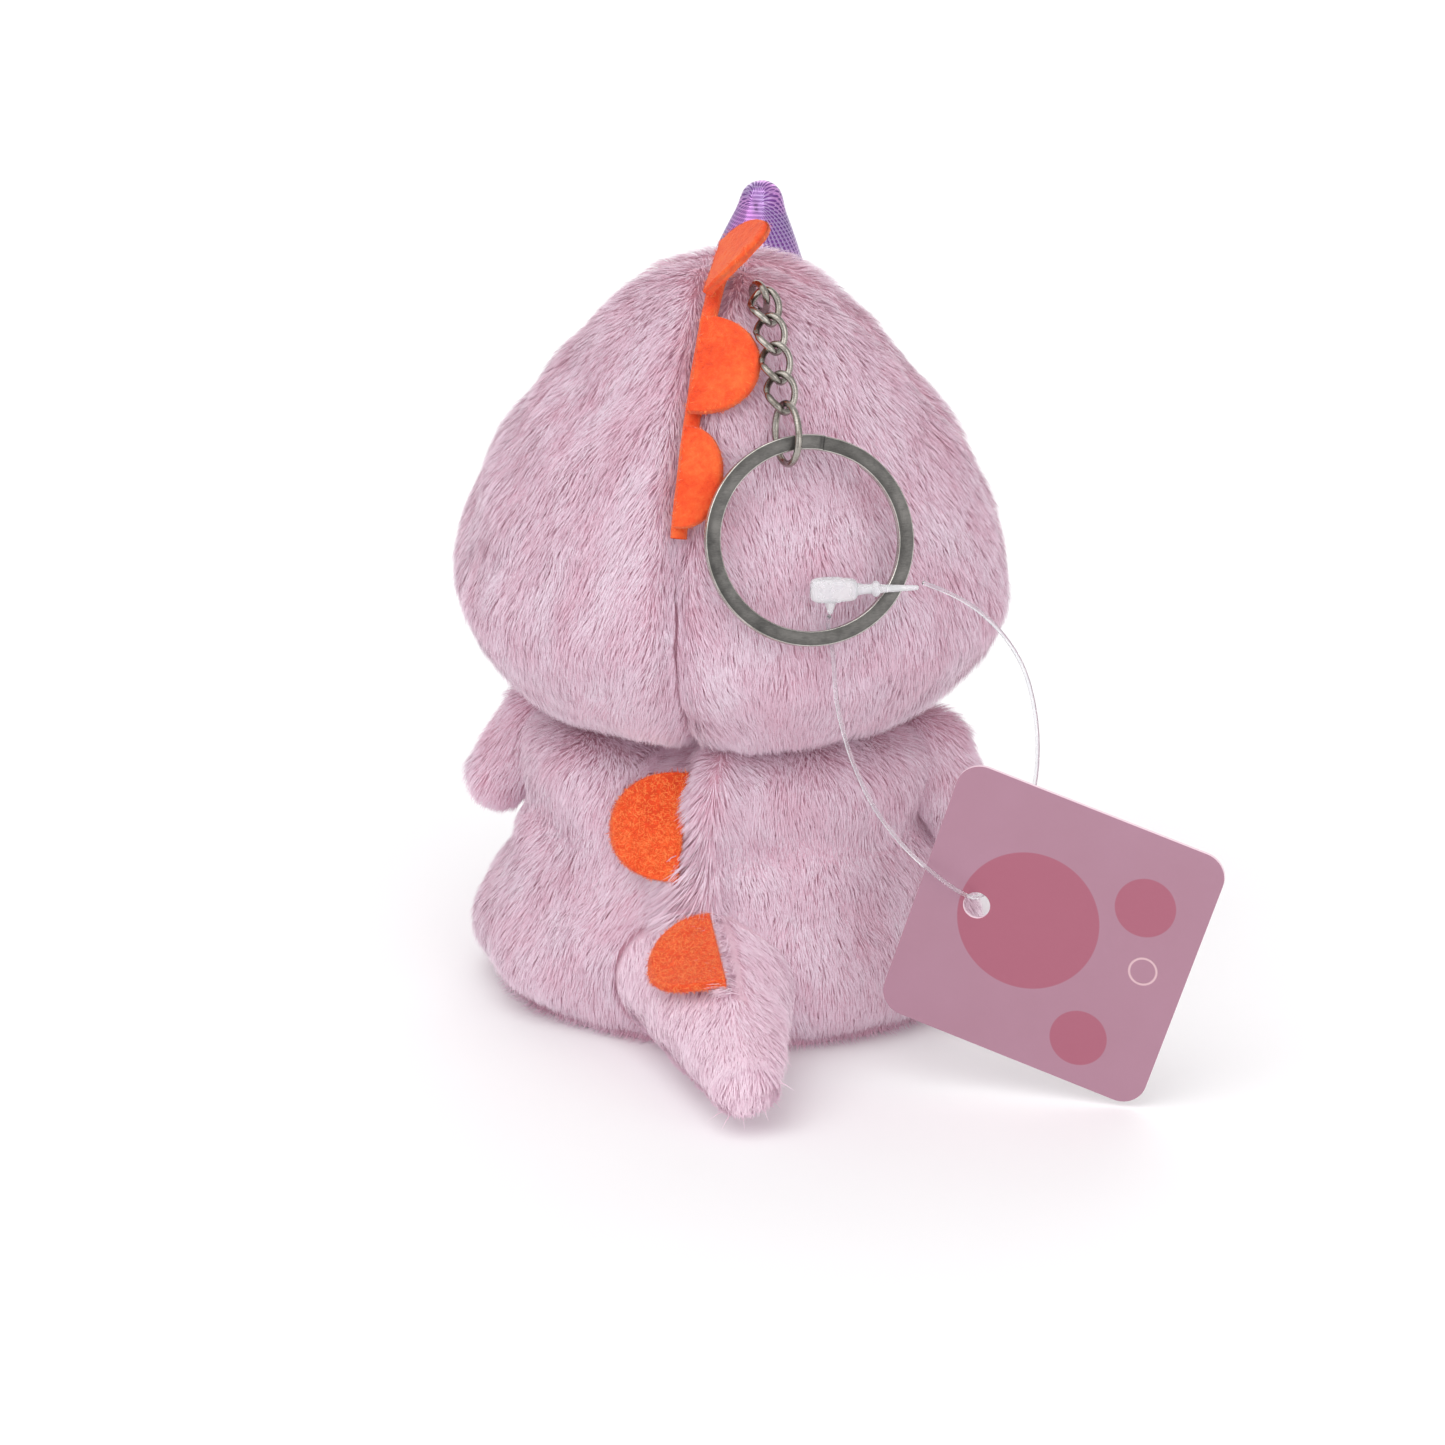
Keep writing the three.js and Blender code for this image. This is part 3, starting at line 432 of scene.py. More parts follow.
def limb_grid(limb, inset, rows=44, columns=64, height=1.0, ridge=0.0):
    """A limb's backing: a grid round the line from its root to its tip, with round ends."""
    root, tip = np.array(limb["root"], float), np.array(limb["tip"], float)
    level = height != 1.0
    axis = (tip - root) * (1, 1, 0 if level else 1)
    length = np.linalg.norm(axis)
    axis = axis / length
    side = unit(np.cross(axis, (0, 0, 1)))
    up = np.cross(side, axis)
    big, small = limb["root_radius"] - inset, limb["tip_radius"] - inset
    outline = [(big * math.sin(a), -big * math.cos(a)) for a in np.linspace(0.06, math.pi / 2, 12)]
    outline += [(small * math.cos(a), length + small * math.sin(a)) for a in np.linspace(0, 1.5, 12)]
    profile = spline(outline, rows)
    turn = np.linspace(0, 2 * math.pi, columns, endpoint=False)
    radius, along = profile[:, 0][:, None, None], profile[:, 1][:, None, None]
    peak = 1 + ridge * np.exp(-((turn - math.pi / 2) / 0.3) ** 2)
    sideways = radius * np.cos(turn)[None, :, None] * side
    upwards = radius * (np.sin(turn) * peak)[None, :, None] * up
    points = (root + along * axis + sideways + upwards).reshape(-1, 3)
    if level:
        slope = (tip[2] - root[2]) / (tip[1] - root[1])
        points[:, 2] = (points[:, 2] - root[2]) * height + root[2] + (points[:, 1] - root[1]) * slope
    return points, grid_faces(rows, columns, close_columns=True)[:, ::-1]


def limb_clearance(limb, points, height=1.0):
    """How far points lie outside a limb's outer form, roughly; negative inside."""
    root, tip = np.array(limb["root"], float), np.array(limb["tip"], float)
    axis = tip - root
    share = np.clip((points - root) @ axis / (axis @ axis), 0, 1)
    offset = points - (root + share[:, None] * axis)
    offset[:, 2] /= height
    radius = limb["root_radius"] + share * (limb["tip_radius"] - limb["root_radius"])
    return np.linalg.norm(offset, axis=1) - radius


def mirrored(limb):
    return {**limb, "root": np.array(limb["root"]) * (-1, 1, 1), "tip": np.array(limb["tip"]) * (-1, 1, 1)}


# ---- pile ----------------------------------------------------------------------------------------
MOST_HAIRS = 66000         # in one piece; each hair is three triangles
BACK_DENSITY = 22          # hairs in a square millimetre of backing
ARM_DENSITY = 20
FOOT_DENSITY = 18
FRONT_DENSITY = 11
FLOOR_CLEARANCE = 0.12
# swirl and stray turn a hair from its comb, uneven varies its length, roll turns its flat side, and tips
# in one cell of the tuft size are drawn together by the drawn share.
HAIR = dict(width=0.11, shortest=0.4, buried=0.25, swirl=0.34, stray=0.13, uneven=0.08, roll=0.3,
            tuft=0.5, drawn=0.2)


def scatter(vertices, quads, density, seed):
    """Random points on a grid's faces, at a density per square millimetre, with their normals."""
    generator = np.random.default_rng(seed)
    normals = vertex_normals(vertices, quads)
    triangles = np.vstack([quads[:, [0, 1, 2]], quads[:, [0, 2, 3]]])
    a, b, c = (vertices[triangles[:, k]] for k in range(3))
    area = np.linalg.norm(np.cross(b - a, c - a), axis=1) / 2
    count = min(int(area.sum() * density), MOST_HAIRS)
    chosen = triangles[generator.choice(len(triangles), count, p=area / area.sum())]
    share = generator.random((count, 2))
    folded = share.sum(1) > 1
    share[folded] = 1 - share[folded]
    weights = np.column_stack([1 - share.sum(1), share])
    points = np.einsum("nk,nkd->nd", weights, vertices[chosen])
    return points, unit(np.einsum("nk,nkd->nd", weights, normals[chosen]))


def tangent_part(direction, normals):
    return unit(direction - (direction * normals).sum(1)[:, None] * normals)


def clumped(tips, cell, share, seed):
    """Draws the tips of neighbouring hairs together into small tufts."""
    jitter = np.column_stack([waves(tips, 3.1, seed + k, 1) for k in range(3)]) * 0.35
    keys = np.floor(tips / cell + jitter).astype(np.int64)
    _, group = np.unique(keys @ (1, 4001, 16008001), return_inverse=True)
    counts = np.bincount(group)
    middle = np.column_stack([np.bincount(group, tips[:, k]) / counts for k in range(3)])
    return tips + (middle[group] - tips) * share


def blades(name, root, middle, tip, edge, root_share, materials, shades, normals):
    """Flat tapered hairs in one mesh. Each is a quad up to its middle and a triangle to its tip."""
    vertices = np.stack([root - edge, root + edge, middle + edge * root_share, middle - edge * root_share,
                         tip], 1).reshape(-1, 3)
    vertices[:, 2] = np.maximum(vertices[:, 2], FLOOR_CLEARANCE)      # hair bends flat at the floor
    start = np.arange(len(root))[:, None] * 5
    faces = (start + np.array([[0, 1, 2, 3]]), start + np.array([[3, 2, 4]]))
    return mesh_object(name, vertices, faces, materials, shades, normals=np.repeat(normals, 5, axis=0))


def pile(name, points, normals, combs, body, slot_name, hairs, seed, length=2.9, lift=32,
         lengths=1.0, lifts=1.0):
    """A pile of flat tapered hairs. Each is a quad and a triangle that bend over along their comb."""
    generator = np.random.default_rng(seed)
    count = len(points)
    swirl = np.column_stack([waves(points, 9, seed + k, 3) for k in (1, 2, 3)])
    stray = generator.normal(size=(count, 3))
    combs = tangent_part(combs + HAIR["swirl"] * swirl + HAIR["stray"] * stray, normals)
    mats = waves(points, 5.5, seed + 7, 3)
    size = length * lengths * (1 + HAIR["uneven"] * (mats + generator.normal(size=count)))
    angle = np.radians(lift) * lifts * (1 + 0.15 * waves(points, 6, seed + 8, 2)
                                        + 0.1 * generator.normal(size=count))
    angle = np.clip(angle, 0.1, 1.45)[:, None]
    size = np.maximum(size, HAIR["shortest"])[:, None]
    first = normals * np.sin(angle) + combs * np.cos(angle)
    second = normals * np.sin(0.42 * angle) + combs * np.cos(0.42 * angle)
    root = points - normals * HAIR["buried"]
    middle = root + first * size * 0.55
    tip = clumped(middle + second * size * 0.45, HAIR["tuft"], HAIR["drawn"], seed)
    middle = middle + (tip - middle - second * size * 0.45) * 0.35
    flat = unit(np.cross(first, normals))
    turn = generator.normal(size=count)[:, None] * HAIR["roll"]
    edge = flat * np.cos(turn) + np.cross(first, flat) * np.sin(turn)
    half = (HAIR["width"] * (0.8 + 0.4 * generator.random(count)) / 2)[:, None]
    tone = 0.5 + 0.5 * waves(points, 8, seed + 9, 3) + 0.2 * generator.normal(size=count)
    # Root halves take the tone two steps darker than their tips: painted shade deep in the pile and painted
    # highlight on the tips, over tone that varies at random.
    shade = np.digitize(tone, (0.25, 0.8))
    facing = normals + 0.08 * generator.normal(size=(count, 3))
    made = blades(name, root, middle, tip, edge * half, 0.8, hairs, (shade, shade + 2), facing)
    finish_piece(made, body)


def keep_off(points, forms, margin=0.4):
    """Which roots lie outside every neighbouring form."""
    clear = np.ones(len(points), bool)
    for clearance in forms:
        clear &= clearance(points) > margin - PILE_HEIGHT
    return clear


LEFT_ARM, RIGHT_ARM = ARM, mirrored(ARM)
LEFT_FOOT, RIGHT_FOOT = FOOT, mirrored(FOOT)
NEAR = {
    "head": HEAD.clearance,
    "body": BODY.clearance,
    "arm_left": lambda p: limb_clearance(LEFT_ARM, p),
    "arm_right": lambda p: limb_clearance(RIGHT_ARM, p),
    "foot_left": lambda p: limb_clearance(LEFT_FOOT, p),
    "foot_right": lambda p: limb_clearance(RIGHT_FOOT, p),
    "tail": lambda p: limb_clearance(TAIL, p, TAIL_HEIGHT),
}


def plush(name, grid, body, slot_name, comb, nodes, seed, near, density,
          **styling):
    """One plush piece: its backing and the pile on it."""
    vertices, quads = grid
    pale = slot_name == "pale_fur"
    backing = mesh_object(name, vertices, (quads,), [PALE_BACKING if pale else PINK_BACKING])
    finish_piece(backing, body, nodes)
    points, normals = scatter(vertices, quads, density, seed)
    shown = keep_off(points, [NEAR[n] for n in near]) & (points[:, 2] > 0.25)
    points, normals = points[shown], normals[shown]
    styled = {key: value(points, normals) if callable(value) else value for key, value in styling.items()}
    hairs = PALE_HAIRS if pale else PINK_HAIRS
    pile(f"{name}_pile", points, normals, comb(points, normals), body, slot_name, hairs, seed + 50,
         **styled)


def comb_down(points, normals):
    """Hair that falls outwards from the crown and then down, and parts at the back seam."""
    parting = np.zeros_like(points)
    back = points[:, 1] > 0
    parting[:, 0] = np.where(back, np.sign(points[:, 0]) * 0.5 * np.exp(-(points[:, 0] / 9) ** 2), 0)
    fall = np.zeros_like(points)
    fall[:, 2] = -1
    return tangent_part(fall, normals) + parting


def comb_body(points, normals):
    """Hair that falls down the body, and on the right of the seam is brushed across it."""
    combs = comb_down(points, normals)
    crossing = (points[:, 0] < 0) & (points[:, 1] > 0)
    strength = np.where(crossing, 2.1 * np.exp(-(points[:, 0] / 3.2) ** 2), 0)
    combs[:, 0] += strength
    return combs


def seam_tufts(low, high, top, amount):
    """Longer or more upright hair beside the back seam, where it covers the spines' sewn edges."""
    def grow(points, normals):
        beside = (points[:, 0] > low) & (points[:, 0] < high) & (points[:, 1] > 0) & (points[:, 2] < top)
        fading = 1 + (amount - 1) * (1 - 0.8 * smoothstep(points[:, 2], 0.75 * top, 0.9 * top))
        return np.where(beside, fading, toward_neck(points, normals))
    return grow


def ridge_tufts(amount):
    """The same beside the tail's ridge, along the spine that is sewn in it."""
    return lambda points, normals: np.where(beside_tail_spine(points), amount, 1.0)


def toward_neck(points, normals):
    """Upright hair under the head, which closes the gap over the body."""
    under = smoothstep(-normals[:, 2], 0.25, 0.7) * (points[:, 2] > 34)
    return 1 + 0.6 * under


def back_panel(form, middle, side):
    """The edges of a back panel on one side: its side seam and the back seam."""
    seam = side_seam(form, middle)
    if side > 0:
        return seam, lambda ring: np.full(len(ring), math.pi / 2)
    return lambda ring: np.full(len(ring), math.pi / 2), lambda ring: math.pi - seam(ring)


def front_panel(form, middle):
    seam = side_seam(form, middle)
    return lambda ring: -math.pi - seam(ring), seam


def make_plush():
    head_near = ["body", "arm_left", "arm_right"]
    body_near = ["head", "arm_left", "arm_right", "foot_left", "foot_right", "tail"]
    for side, name in ((1, "left"), (-1, "right")):
        edges = back_panel(HEAD, HEAD_MIDDLE, side)
        tufts = seam_tufts(0.2, 2.4, 96, 1.4) if side > 0 else toward_neck
        plush(f"plush_head_back_{name}", HEAD.panel(*edges, 150, 110, mould_head), "plush", "pink_fur",
              comb_down, [f"head_back_{name}"], 100 + side, head_near, BACK_DENSITY, lifts=tufts)
        edges = back_panel(BODY, BODY_MIDDLE, side)
        longer, tufts = 1.0, toward_neck
        if side < 0:
            longer, tufts = seam_tufts(-3.2, -0.1, 33, 2.3), seam_tufts(-3.2, -0.1, 33, 1.8)
        plush(f"plush_body_back_{name}", BODY.panel(*edges, 110, 110, mould_body), "plush", "pink_fur",
              comb_body, [f"body_back_{name}"], 200 + side, body_near, BACK_DENSITY,
              lengths=longer, lifts=tufts)
        arm = LEFT_ARM if side > 0 else RIGHT_ARM
        plush(f"plush_arm_{name}", limb_grid(arm, 1.2), f"arm_{name}", "pink_fur",
              lambda p, n, a=arm: tangent_part(np.array([[0.3 * np.sign(a["tip"][0]), 0, -1]]), n),
              [f"arm_{name}"], 300 + side, ["head", "body"],
              ARM_DENSITY, lift=26)
        foot = LEFT_FOOT if side > 0 else RIGHT_FOOT
        plush(f"plush_foot_{name}", limb_grid(foot, PILE_HEIGHT), f"foot_{name}", "pink_fur",
              lambda p, n: tangent_part(np.array([[0, -1, -0.25]]), n),
              [f"foot_{name}"], 400 + side, ["body"], FOOT_DENSITY, lift=20)
    face = HEAD.panel(*front_panel(HEAD, HEAD_MIDDLE), 150, 200, mould_head)
    plush("plush_face", face, "plush", "pink_fur", comb_down, ["face_panel", "head_stuffing"], 500,
          head_near, FRONT_DENSITY, lifts=toward_neck)
    belly = BODY.panel(*front_panel(BODY, BODY_MIDDLE), 110, 180, mould_body)
    plush("plush_belly", belly, "plush", "pale_fur", comb_down,
          ["belly_panel", "body_stuffing", "seat_panel"], 501, body_near, FRONT_DENSITY, lifts=toward_neck)
    tail = limb_grid(TAIL, 1.0, 60, 90, TAIL_HEIGHT, ridge=0.1)
    plush("plush_tail", tail, "tail", "pale_fur", comb_tail, ["tail"], 502, ["body"], BACK_DENSITY,
          length=2.8, lift=19, lengths=ridge_tufts(1.6), lifts=ridge_tufts(1.5))


def along_tail(points):
    """How far points lie along the tail from its root, and how far to the creature's right of its ridge."""
    axis = unit((np.array(TAIL["tip"]) - np.array(TAIL["root"])) * (1, 1, 0))
    side = np.cross((0, 0, 1), axis)
    offset = points - np.array(TAIL["root"])
    return offset @ axis, -offset @ side * np.sign(side[0])


def beside_tail_spine(points):
    """Which points lie just to the creature's right of the spine that is sewn in the tail's ridge."""
    along, offset = along_tail(points)
    return (offset > 0.2) & (offset < 1.8) & (along > 5) & (along < 20)


def comb_tail(points, normals):
    """Hair that parts at the tail's ridge and runs to its tip, brushed across beside the spine."""
    axis = unit(np.array(TAIL["tip"]) - np.array(TAIL["root"]))
    side = unit(np.cross((0, 0, 1), axis))
    side = side * np.sign(side[0])
    _, offset = along_tail(points)
    away = np.where(beside_tail_spine(points), 1.3, -np.tanh(offset / 3) * 0.7)
    return tangent_part(axis + away[:, None] * side + np.array([[0, 0, -0.25]]), normals)


# ---- felt ----------------------------------------------------------------------------------------
def felt_material():
    made = Material("felt", (0.9, 0.12, 0.01), 0.95, Sheen_Weight=0.5, Sheen_Roughness=0.5,
                    Sheen_Tint=(1, 0.55, 0.35, 1))
    fibres = made.noise(1600, 8, 0.75)
    blotches = made.noise(260, 3)
    blend = made.math("MULTIPLY_ADD", blotches, 0.5, made.math("MULTIPLY", fibres, 0.6))
    made.link(Base_Color=made.ramp(blend, [(0.34, (0.7, 0.025, 0.002)), (0.5, (0.95, 0.07, 0.008)),
                                           (0.7, (1.0, 0.16, 0.03))]))
    made.link(Roughness=made.ramp(fibres, [(0.2, 0.85), (0.8, 1.0)]))
    made.bump(fibres, 0.9, 0.0004)
    return made.material


FELT_CLOTH = felt_material()
FELT_FIBRES = [
    Material("felt_fibre_deep", (0.8, 0.07, 0.005), 0.9, Sheen_Weight=0.4).material,
    Material("felt_fibre_light", (1.0, 0.26, 0.06), 0.9, Sheen_Weight=0.4).material,
]


def felt_flap(name, spec):
    """A spine: a half-disc of felt that springs from its sewn edge, with loose fibres on it."""
    joint = JOINTS[f"{name}_fold"]
    top = np.array(joint["pos_m"]) / MM
    side = spec["side"]
    down = -side * unit(joint["axis"])
    lateral = unit(np.array([1, 0, 0]) - down[0] * down)
    out = np.cross(lateral, down)
    lean = math.radians(spec["lift"])
    rows, columns = 46, 26
    tau = np.linspace(0.002, 0.998, rows)[:, None]
    share = np.linspace(0, 1, columns)[None, :]
    far, flare, edge = spec["reach"] * 1.25, 0.9, spec["edge"]
    reach = 3 * tau * (1 - tau) * far
    along = 3 * tau * (1 - tau) ** 2 * -flare + 3 * tau ** 2 * (1 - tau) * (edge + flare) + tau ** 3 * edge
    across = share * reach + 0.3
    along = np.broadcast_to(along, across.shape)
    rise = math.tan(lean) * across if spec["lift"] < 20 else 0
    rim = np.minimum(1 - share, np.minimum(tau, 1 - tau) * 3.2) * reach / FELT
    half = FELT / 2 * np.sqrt(np.clip(1 - (1 - np.clip(rim, 0, 0.5) * 2) ** 2, 0, 1))
    wave = 0.22 * np.sin(along * 0.5 + spec["edge"]) * share
    height = rise - spec["curl"] * across ** 2 + wave
    if spec["lift"] >= 20:
        lateral_out = lateral * side * math.cos(lean) + out * math.sin(lean)
        out_lift = np.cross(lateral_out, down) * side
    else:
        lateral_out, out_lift = lateral * side, out
    base = top + across[..., None] * lateral_out + along[..., None] * down
    sheets = []
    for sign in (1, -1):
        rough = 0.05 * waves(base.reshape(-1, 3), 1.3, 31 + sign, 3).reshape(across.shape)
        sheets.append(base + (height + sign * (half + rough * (half > 0.1)))[..., None] * out_lift)
    upper, lower = sheets
    loop = np.concatenate([upper, lower[:, ::-1]], axis=1)
    vertices = loop.reshape(-1, 3)
    quads = grid_faces(rows, 2 * columns, close_columns=True)
    piece = mesh_object(f"felt_{name}", vertices, (quads,), [FELT_CLOTH])
    finish_piece(piece, name, [name])
    felt_fuzz(f"felt_{name}_fuzz", vertices, quads, name)


def felt_fuzz(name, vertices, quads, body):
    """Short loose fibres that lie about on felt and stand out round its edge."""
    generator = np.random.default_rng(len(name))
    points, normals = scatter(vertices, quads, FELT_FIBRE_DENSITY, 77)
    count = len(points)
    along = tangent_part(generator.normal(size=(count, 3)), normals)
    size = generator.uniform(0.3, 0.9, count)[:, None]
    middle = points + along * size * 0.5 + normals * 0.12
    tip = points + along * size + normals * generator.uniform(0.0, 0.22, count)[:, None]
    edge = unit(np.cross(along, normals)) * 0.03
    shade = generator.integers(0, 2, count)
    made = blades(name, points, middle, tip, edge, 1.0, FELT_FIBRES, (shade, shade), normals)
    finish_piece(made, body)


def crest_strip():
    """The felt strip that shows in the seam between the head's spines."""
    heights = np.linspace(94.0, 65.6, 60)
    y = HEAD.radius(heights) * HEAD_DEPTH
    path = np.column_stack([np.zeros_like(y), y, heights])
    tangent = unit(np.gradient(path, axis=0))
    out = np.cross(tangent, (1, 0, 0))
    out = out * np.sign(out[:, 1:2] + 1e-9)
    turn = np.linspace(0, 2 * math.pi, 14, endpoint=False)
    x = np.cos(turn) * FELT * 0.85 - 0.5
    rise = np.sin(turn) * 0.9 - 0.35
    wobble = 0.12 * waves(path * 2.0, 5, 5, 2)[:, None, None]
    sideways = x[None, :, None] * np.array([1, 0, 0])
    rings = path[:, None] + sideways + (rise[None, :, None] + wobble) * out[:, None]
    quads = grid_faces(len(path), len(turn), close_columns=True)
    piece = mesh_object("felt_strip", rings.reshape(-1, 3), (quads,), [FELT_CLOTH])
    finish_piece(piece, "plush", ["crest_strip"])


# ---- horn, eyes and mouth ------------------------------------------------------------------------
def foil_material(base, axis):
    """Iridescent foil cloth: rows of small printed dots, and a sheen that shifts round the cone."""
    made = Material("foil_cloth", (0.4, 0.22, 0.55), 0.3, Metallic=0.75, Coat_Weight=0.3,
                    Coat_Roughness=0.2)
    place = made.place()
    split = made.node("ShaderNodeSeparateXYZ", {0: place})
    turn = made.math("ARCTAN2", split.outputs[0], made.math("ADD", split.outputs[1], -base[1] * MM))
    height = split.outputs[2]
    rows = made.math("MULTIPLY", height, 1 / (0.44 * MM))
    columns = made.math("MULTIPLY", turn, 40 / (2 * math.pi))
    u = made.math("MULTIPLY", made.math("SUBTRACT", made.math("FRACT", columns), 0.5), 1.15)
    v = made.math("MULTIPLY", made.math("SUBTRACT", made.math("FRACT", rows), 0.5), 0.8)
    reach = made.hypot(u, v)
    worn = made.math("MULTIPLY_ADD", made.noise(900, 2), 0.16, -0.08)
    dots = made.ramp(made.math("ADD", reach, worn), [(0.3, 1.0), (0.4, 0.0)])
    shift = made.math("ADD", made.noise(150, 2), made.math("MULTIPLY", height, 9.0))
    shine = made.ramp(made.math("FRACT", shift), [
        (0.0, (0.38, 0.33, 0.52)), (0.35, (0.46, 0.3, 0.6)), (0.5, (0.7, 0.3, 0.75)),
        (0.7, (0.36, 0.38, 0.6)), (1.0, (0.38, 0.33, 0.52))])
    ground = made.mix(made.noise(420, 2), (0.24, 0.05, 0.34), (0.1, 0.05, 0.22))
    dots = made.math("SUBTRACT", 1.0, dots)
    made.link(Base_Color=made.mix(dots, ground, shine))
    made.link(Roughness=made.ramp(dots, [(0.0, 0.5), (1.0, 0.26)]))
    made.bump(dots, 0.6, 0.0002)
    return made.material


def horn():
    base, tip = np.array(HORN["base"], float), np.array(HORN["tip"], float)
    axis = unit(tip - base)
    start = base - axis * HORN["buried"]
    length = np.linalg.norm(tip - start) - HORN["tip_radius"]
    wide, blunt = HORN["radius"], HORN["tip_radius"]
    cone = [(wide + (blunt - wide) * share + 0.35 * math.sin(math.pi * share), length * share)
            for share in np.linspace(0, 0.94, 8)]
    cap = [(blunt * math.cos(a), length + blunt * math.sin(a)) for a in np.linspace(0.25, 1.55, 8)]
    profile = spline(cone + cap, 70)
    turn = np.linspace(0, 2 * math.pi, 72, endpoint=False)
    side = np.array([1.0, 0, 0])
    front = np.cross(axis, side)
    ring = np.cos(turn)[:, None] * side + np.sin(turn)[:, None] * front
    pucker = 1 - 0.06 * np.exp(-((turn - math.pi / 2) / 0.18) ** 2) + 0.012 * np.sin(5 * turn + 1)
    radius = profile[:, 0][:, None] * pucker[None, :]
    points = start + profile[:, 1][:, None, None] * axis + radius[..., None] * ring[None]
    quads = grid_faces(70, 72, close_columns=True)
    piece = mesh_object("foil_horn", points.reshape(-1, 3), (quads,), [foil_material(base, axis)])
    finish_piece(piece, "plush", ["horn_skin", "horn_stuffing"])


def eye_material():
    made = Material("eye_gloss", (0.012, 0.01, 0.012), 0.06, Coat_Weight=0.6, Coat_Roughness=0.03)
    scuffs = made.noise(700, 4, 0.6)
    made.link(Roughness=made.ramp(scuffs, [(0.4, 0.05), (0.75, 0.14)]))
    return made.material


def head_point(turn, height):
    radius = float(HEAD.radius(height))
    point = np.array([radius * math.sin(turn), -radius * HEAD_DEPTH * math.cos(turn), height])
    slope = float(HEAD.radius(height - 1) - HEAD.radius(height + 1)) / 2
    return point, unit([point[0], point[1] / HEAD_DEPTH ** 2, slope * radius])


def eyes():
    material = eye_material()
    for side, name in ((1, "left"), (-1, "right")):
        centre, out = head_point(side * math.radians(EYE["turn"]), EYE["height"])
        across = unit(np.cross((0, 0, 1), out))
        up = np.cross(out, across)
        rings, columns = 26, 48
        lean = np.linspace(0.02, 2.2, rings)
        radius = EYE["radius"] * np.sin(np.minimum(lean, math.pi / 2))
        radius = radius - np.maximum(lean - math.pi / 2, 0) * 0.8
        rise = EYE["dome"] * np.cos(lean)
        turn = np.linspace(0, 2 * math.pi, columns, endpoint=False)
        around = np.cos(turn)[:, None] * across + np.sin(turn)[:, None] * up
        points = centre + out * 0.9 + rise[:, None, None] * out + radius[:, None, None] * around[None]
        piece = mesh_object(f"eye_bead_{name}", points.reshape(-1, 3),
                            (grid_faces(rings, columns, close_columns=True),), [material])
        finish_piece(piece, "plush", [f"eye_{name}", f"eye_washer_{name}"])


def mouth():
    made = Material("mouth_thread", (0.16, 0.03, 0.05), 0.7, Sheen_Weight=0.3)
    twist = made.noise(2200, 4, 0.6)
    made.link(Base_Color=made.ramp(twist, [(0.3, (0.1, 0.015, 0.03)), (0.7, (0.28, 0.07, 0.1))]))
    made.bump(twist, 0.6, 0.0002)
    share = np.linspace(-1, 1, 40)
    z = MOUTH["height"] + MOUTH["rise"] * share ** 2
    x = MOUTH["half_width"] * share
    y = -np.sqrt(HEAD.radius(z) ** 2 - x ** 2) * HEAD_DEPTH - MOUTH["proud"] + 0.2
    path = np.column_stack([x, y, z])
    piece = tube("mouth_thread", path, lambda s: MOUTH["thread"] * (1 - 0.6 * np.abs(2 * s - 1) ** 4)
                 * (1 + 0.12 * np.sin(s * 75)), [made.material], 10)
    finish_piece(piece, "plush", ["mouth_stitch"])


# ---- metal ---------------------------------------------------------------------------------------
def path_frames(path):
    """Two directions square to a path at each of its points, carried along it without twisting."""
    tangent = unit(np.gradient(path, axis=0))
    seed = np.eye(3)[np.argmin(np.abs(tangent[0]))]
    first = [unit(np.cross(tangent[0], seed))]
    for t in tangent[1:]:
        first.append(unit(first[-1] - (first[-1] @ t) * t))
    first = np.array(first)
    return first, np.cross(tangent, first)


def unit_rings(path, sides):
    """A ring of unit vectors round each point of a path, square to it."""
    first, second = path_frames(path)
    turn = np.linspace(0, 2 * math.pi, sides, endpoint=False)
    return np.cos(turn)[None, :, None] * first[:, None] + np.sin(turn)[None, :, None] * second[:, None]


def tube(name, path, radius, materials, sides=12):
    """A round bar along a path, whose radius is a function of the share of its length, with round ends."""
    size = radius(np.linspace(0, 1, len(path)))
    ring = unit_rings(path, sides)
    rings = path[:, None] + ring * size[:, None, None]
    caps = []
    for end, near in ((0, 1), (-1, -2)):
        way = unit(path[end] - path[near])
        steps = [path[end] + way * size[end] * s + ring[end] * size[end] * math.sqrt(1 - s * s)
                 for s in (0.5, 0.85, 0.999)]
        caps.append(steps)
    stack = np.concatenate([np.array(caps[0][::-1]), rings, np.array(caps[1])])
    quads = grid_faces(len(stack), sides, close_columns=True)
    return mesh_object(name, stack.reshape(-1, 3), (quads,), materials)


def nickel_material(name, color, dark, roughness):
    """Worn nickel plate: fine scratches, tarnish in patches and small bright rubs."""
    made = Material(name, color, roughness, Metallic=1.0)
    tarnish = made.noise(330, 5, 0.65)
    scratches = made.noise(1500, 3, 0.7, stretch=(1, 1, 6))
    blend = made.math("MULTIPLY_ADD", scratches, 0.35, made.math("MULTIPLY", tarnish, 0.7))
    made.link(Base_Color=made.ramp(blend, [(0.36, dark), (0.62, color)]))
    made.link(Roughness=made.ramp(blend, [(0.3, roughness + 0.14), (0.75, roughness - 0.06)]))
    made.bump(scratches, 0.25, 0.00006)
    return made.material


NICKEL = nickel_material("nickel_wire", (0.42, 0.39, 0.355), (0.15, 0.13, 0.11), 0.2)
# The split ring's nickel in two copies: its face painted dark as painted reflection, its edges painted
# bright as painted highlight.
RING_FACE_PAINTED_DARK = nickel_material("nickel_face_painted_dark", (0.135, 0.13, 0.123), (0.07, 0.068, 0.065), 0.33)
RING_EDGE_PAINTED_BRIGHT = nickel_material("nickel_edge_painted_bright", (0.62, 0.6, 0.56), (0.3, 0.29, 0.26), 0.2)

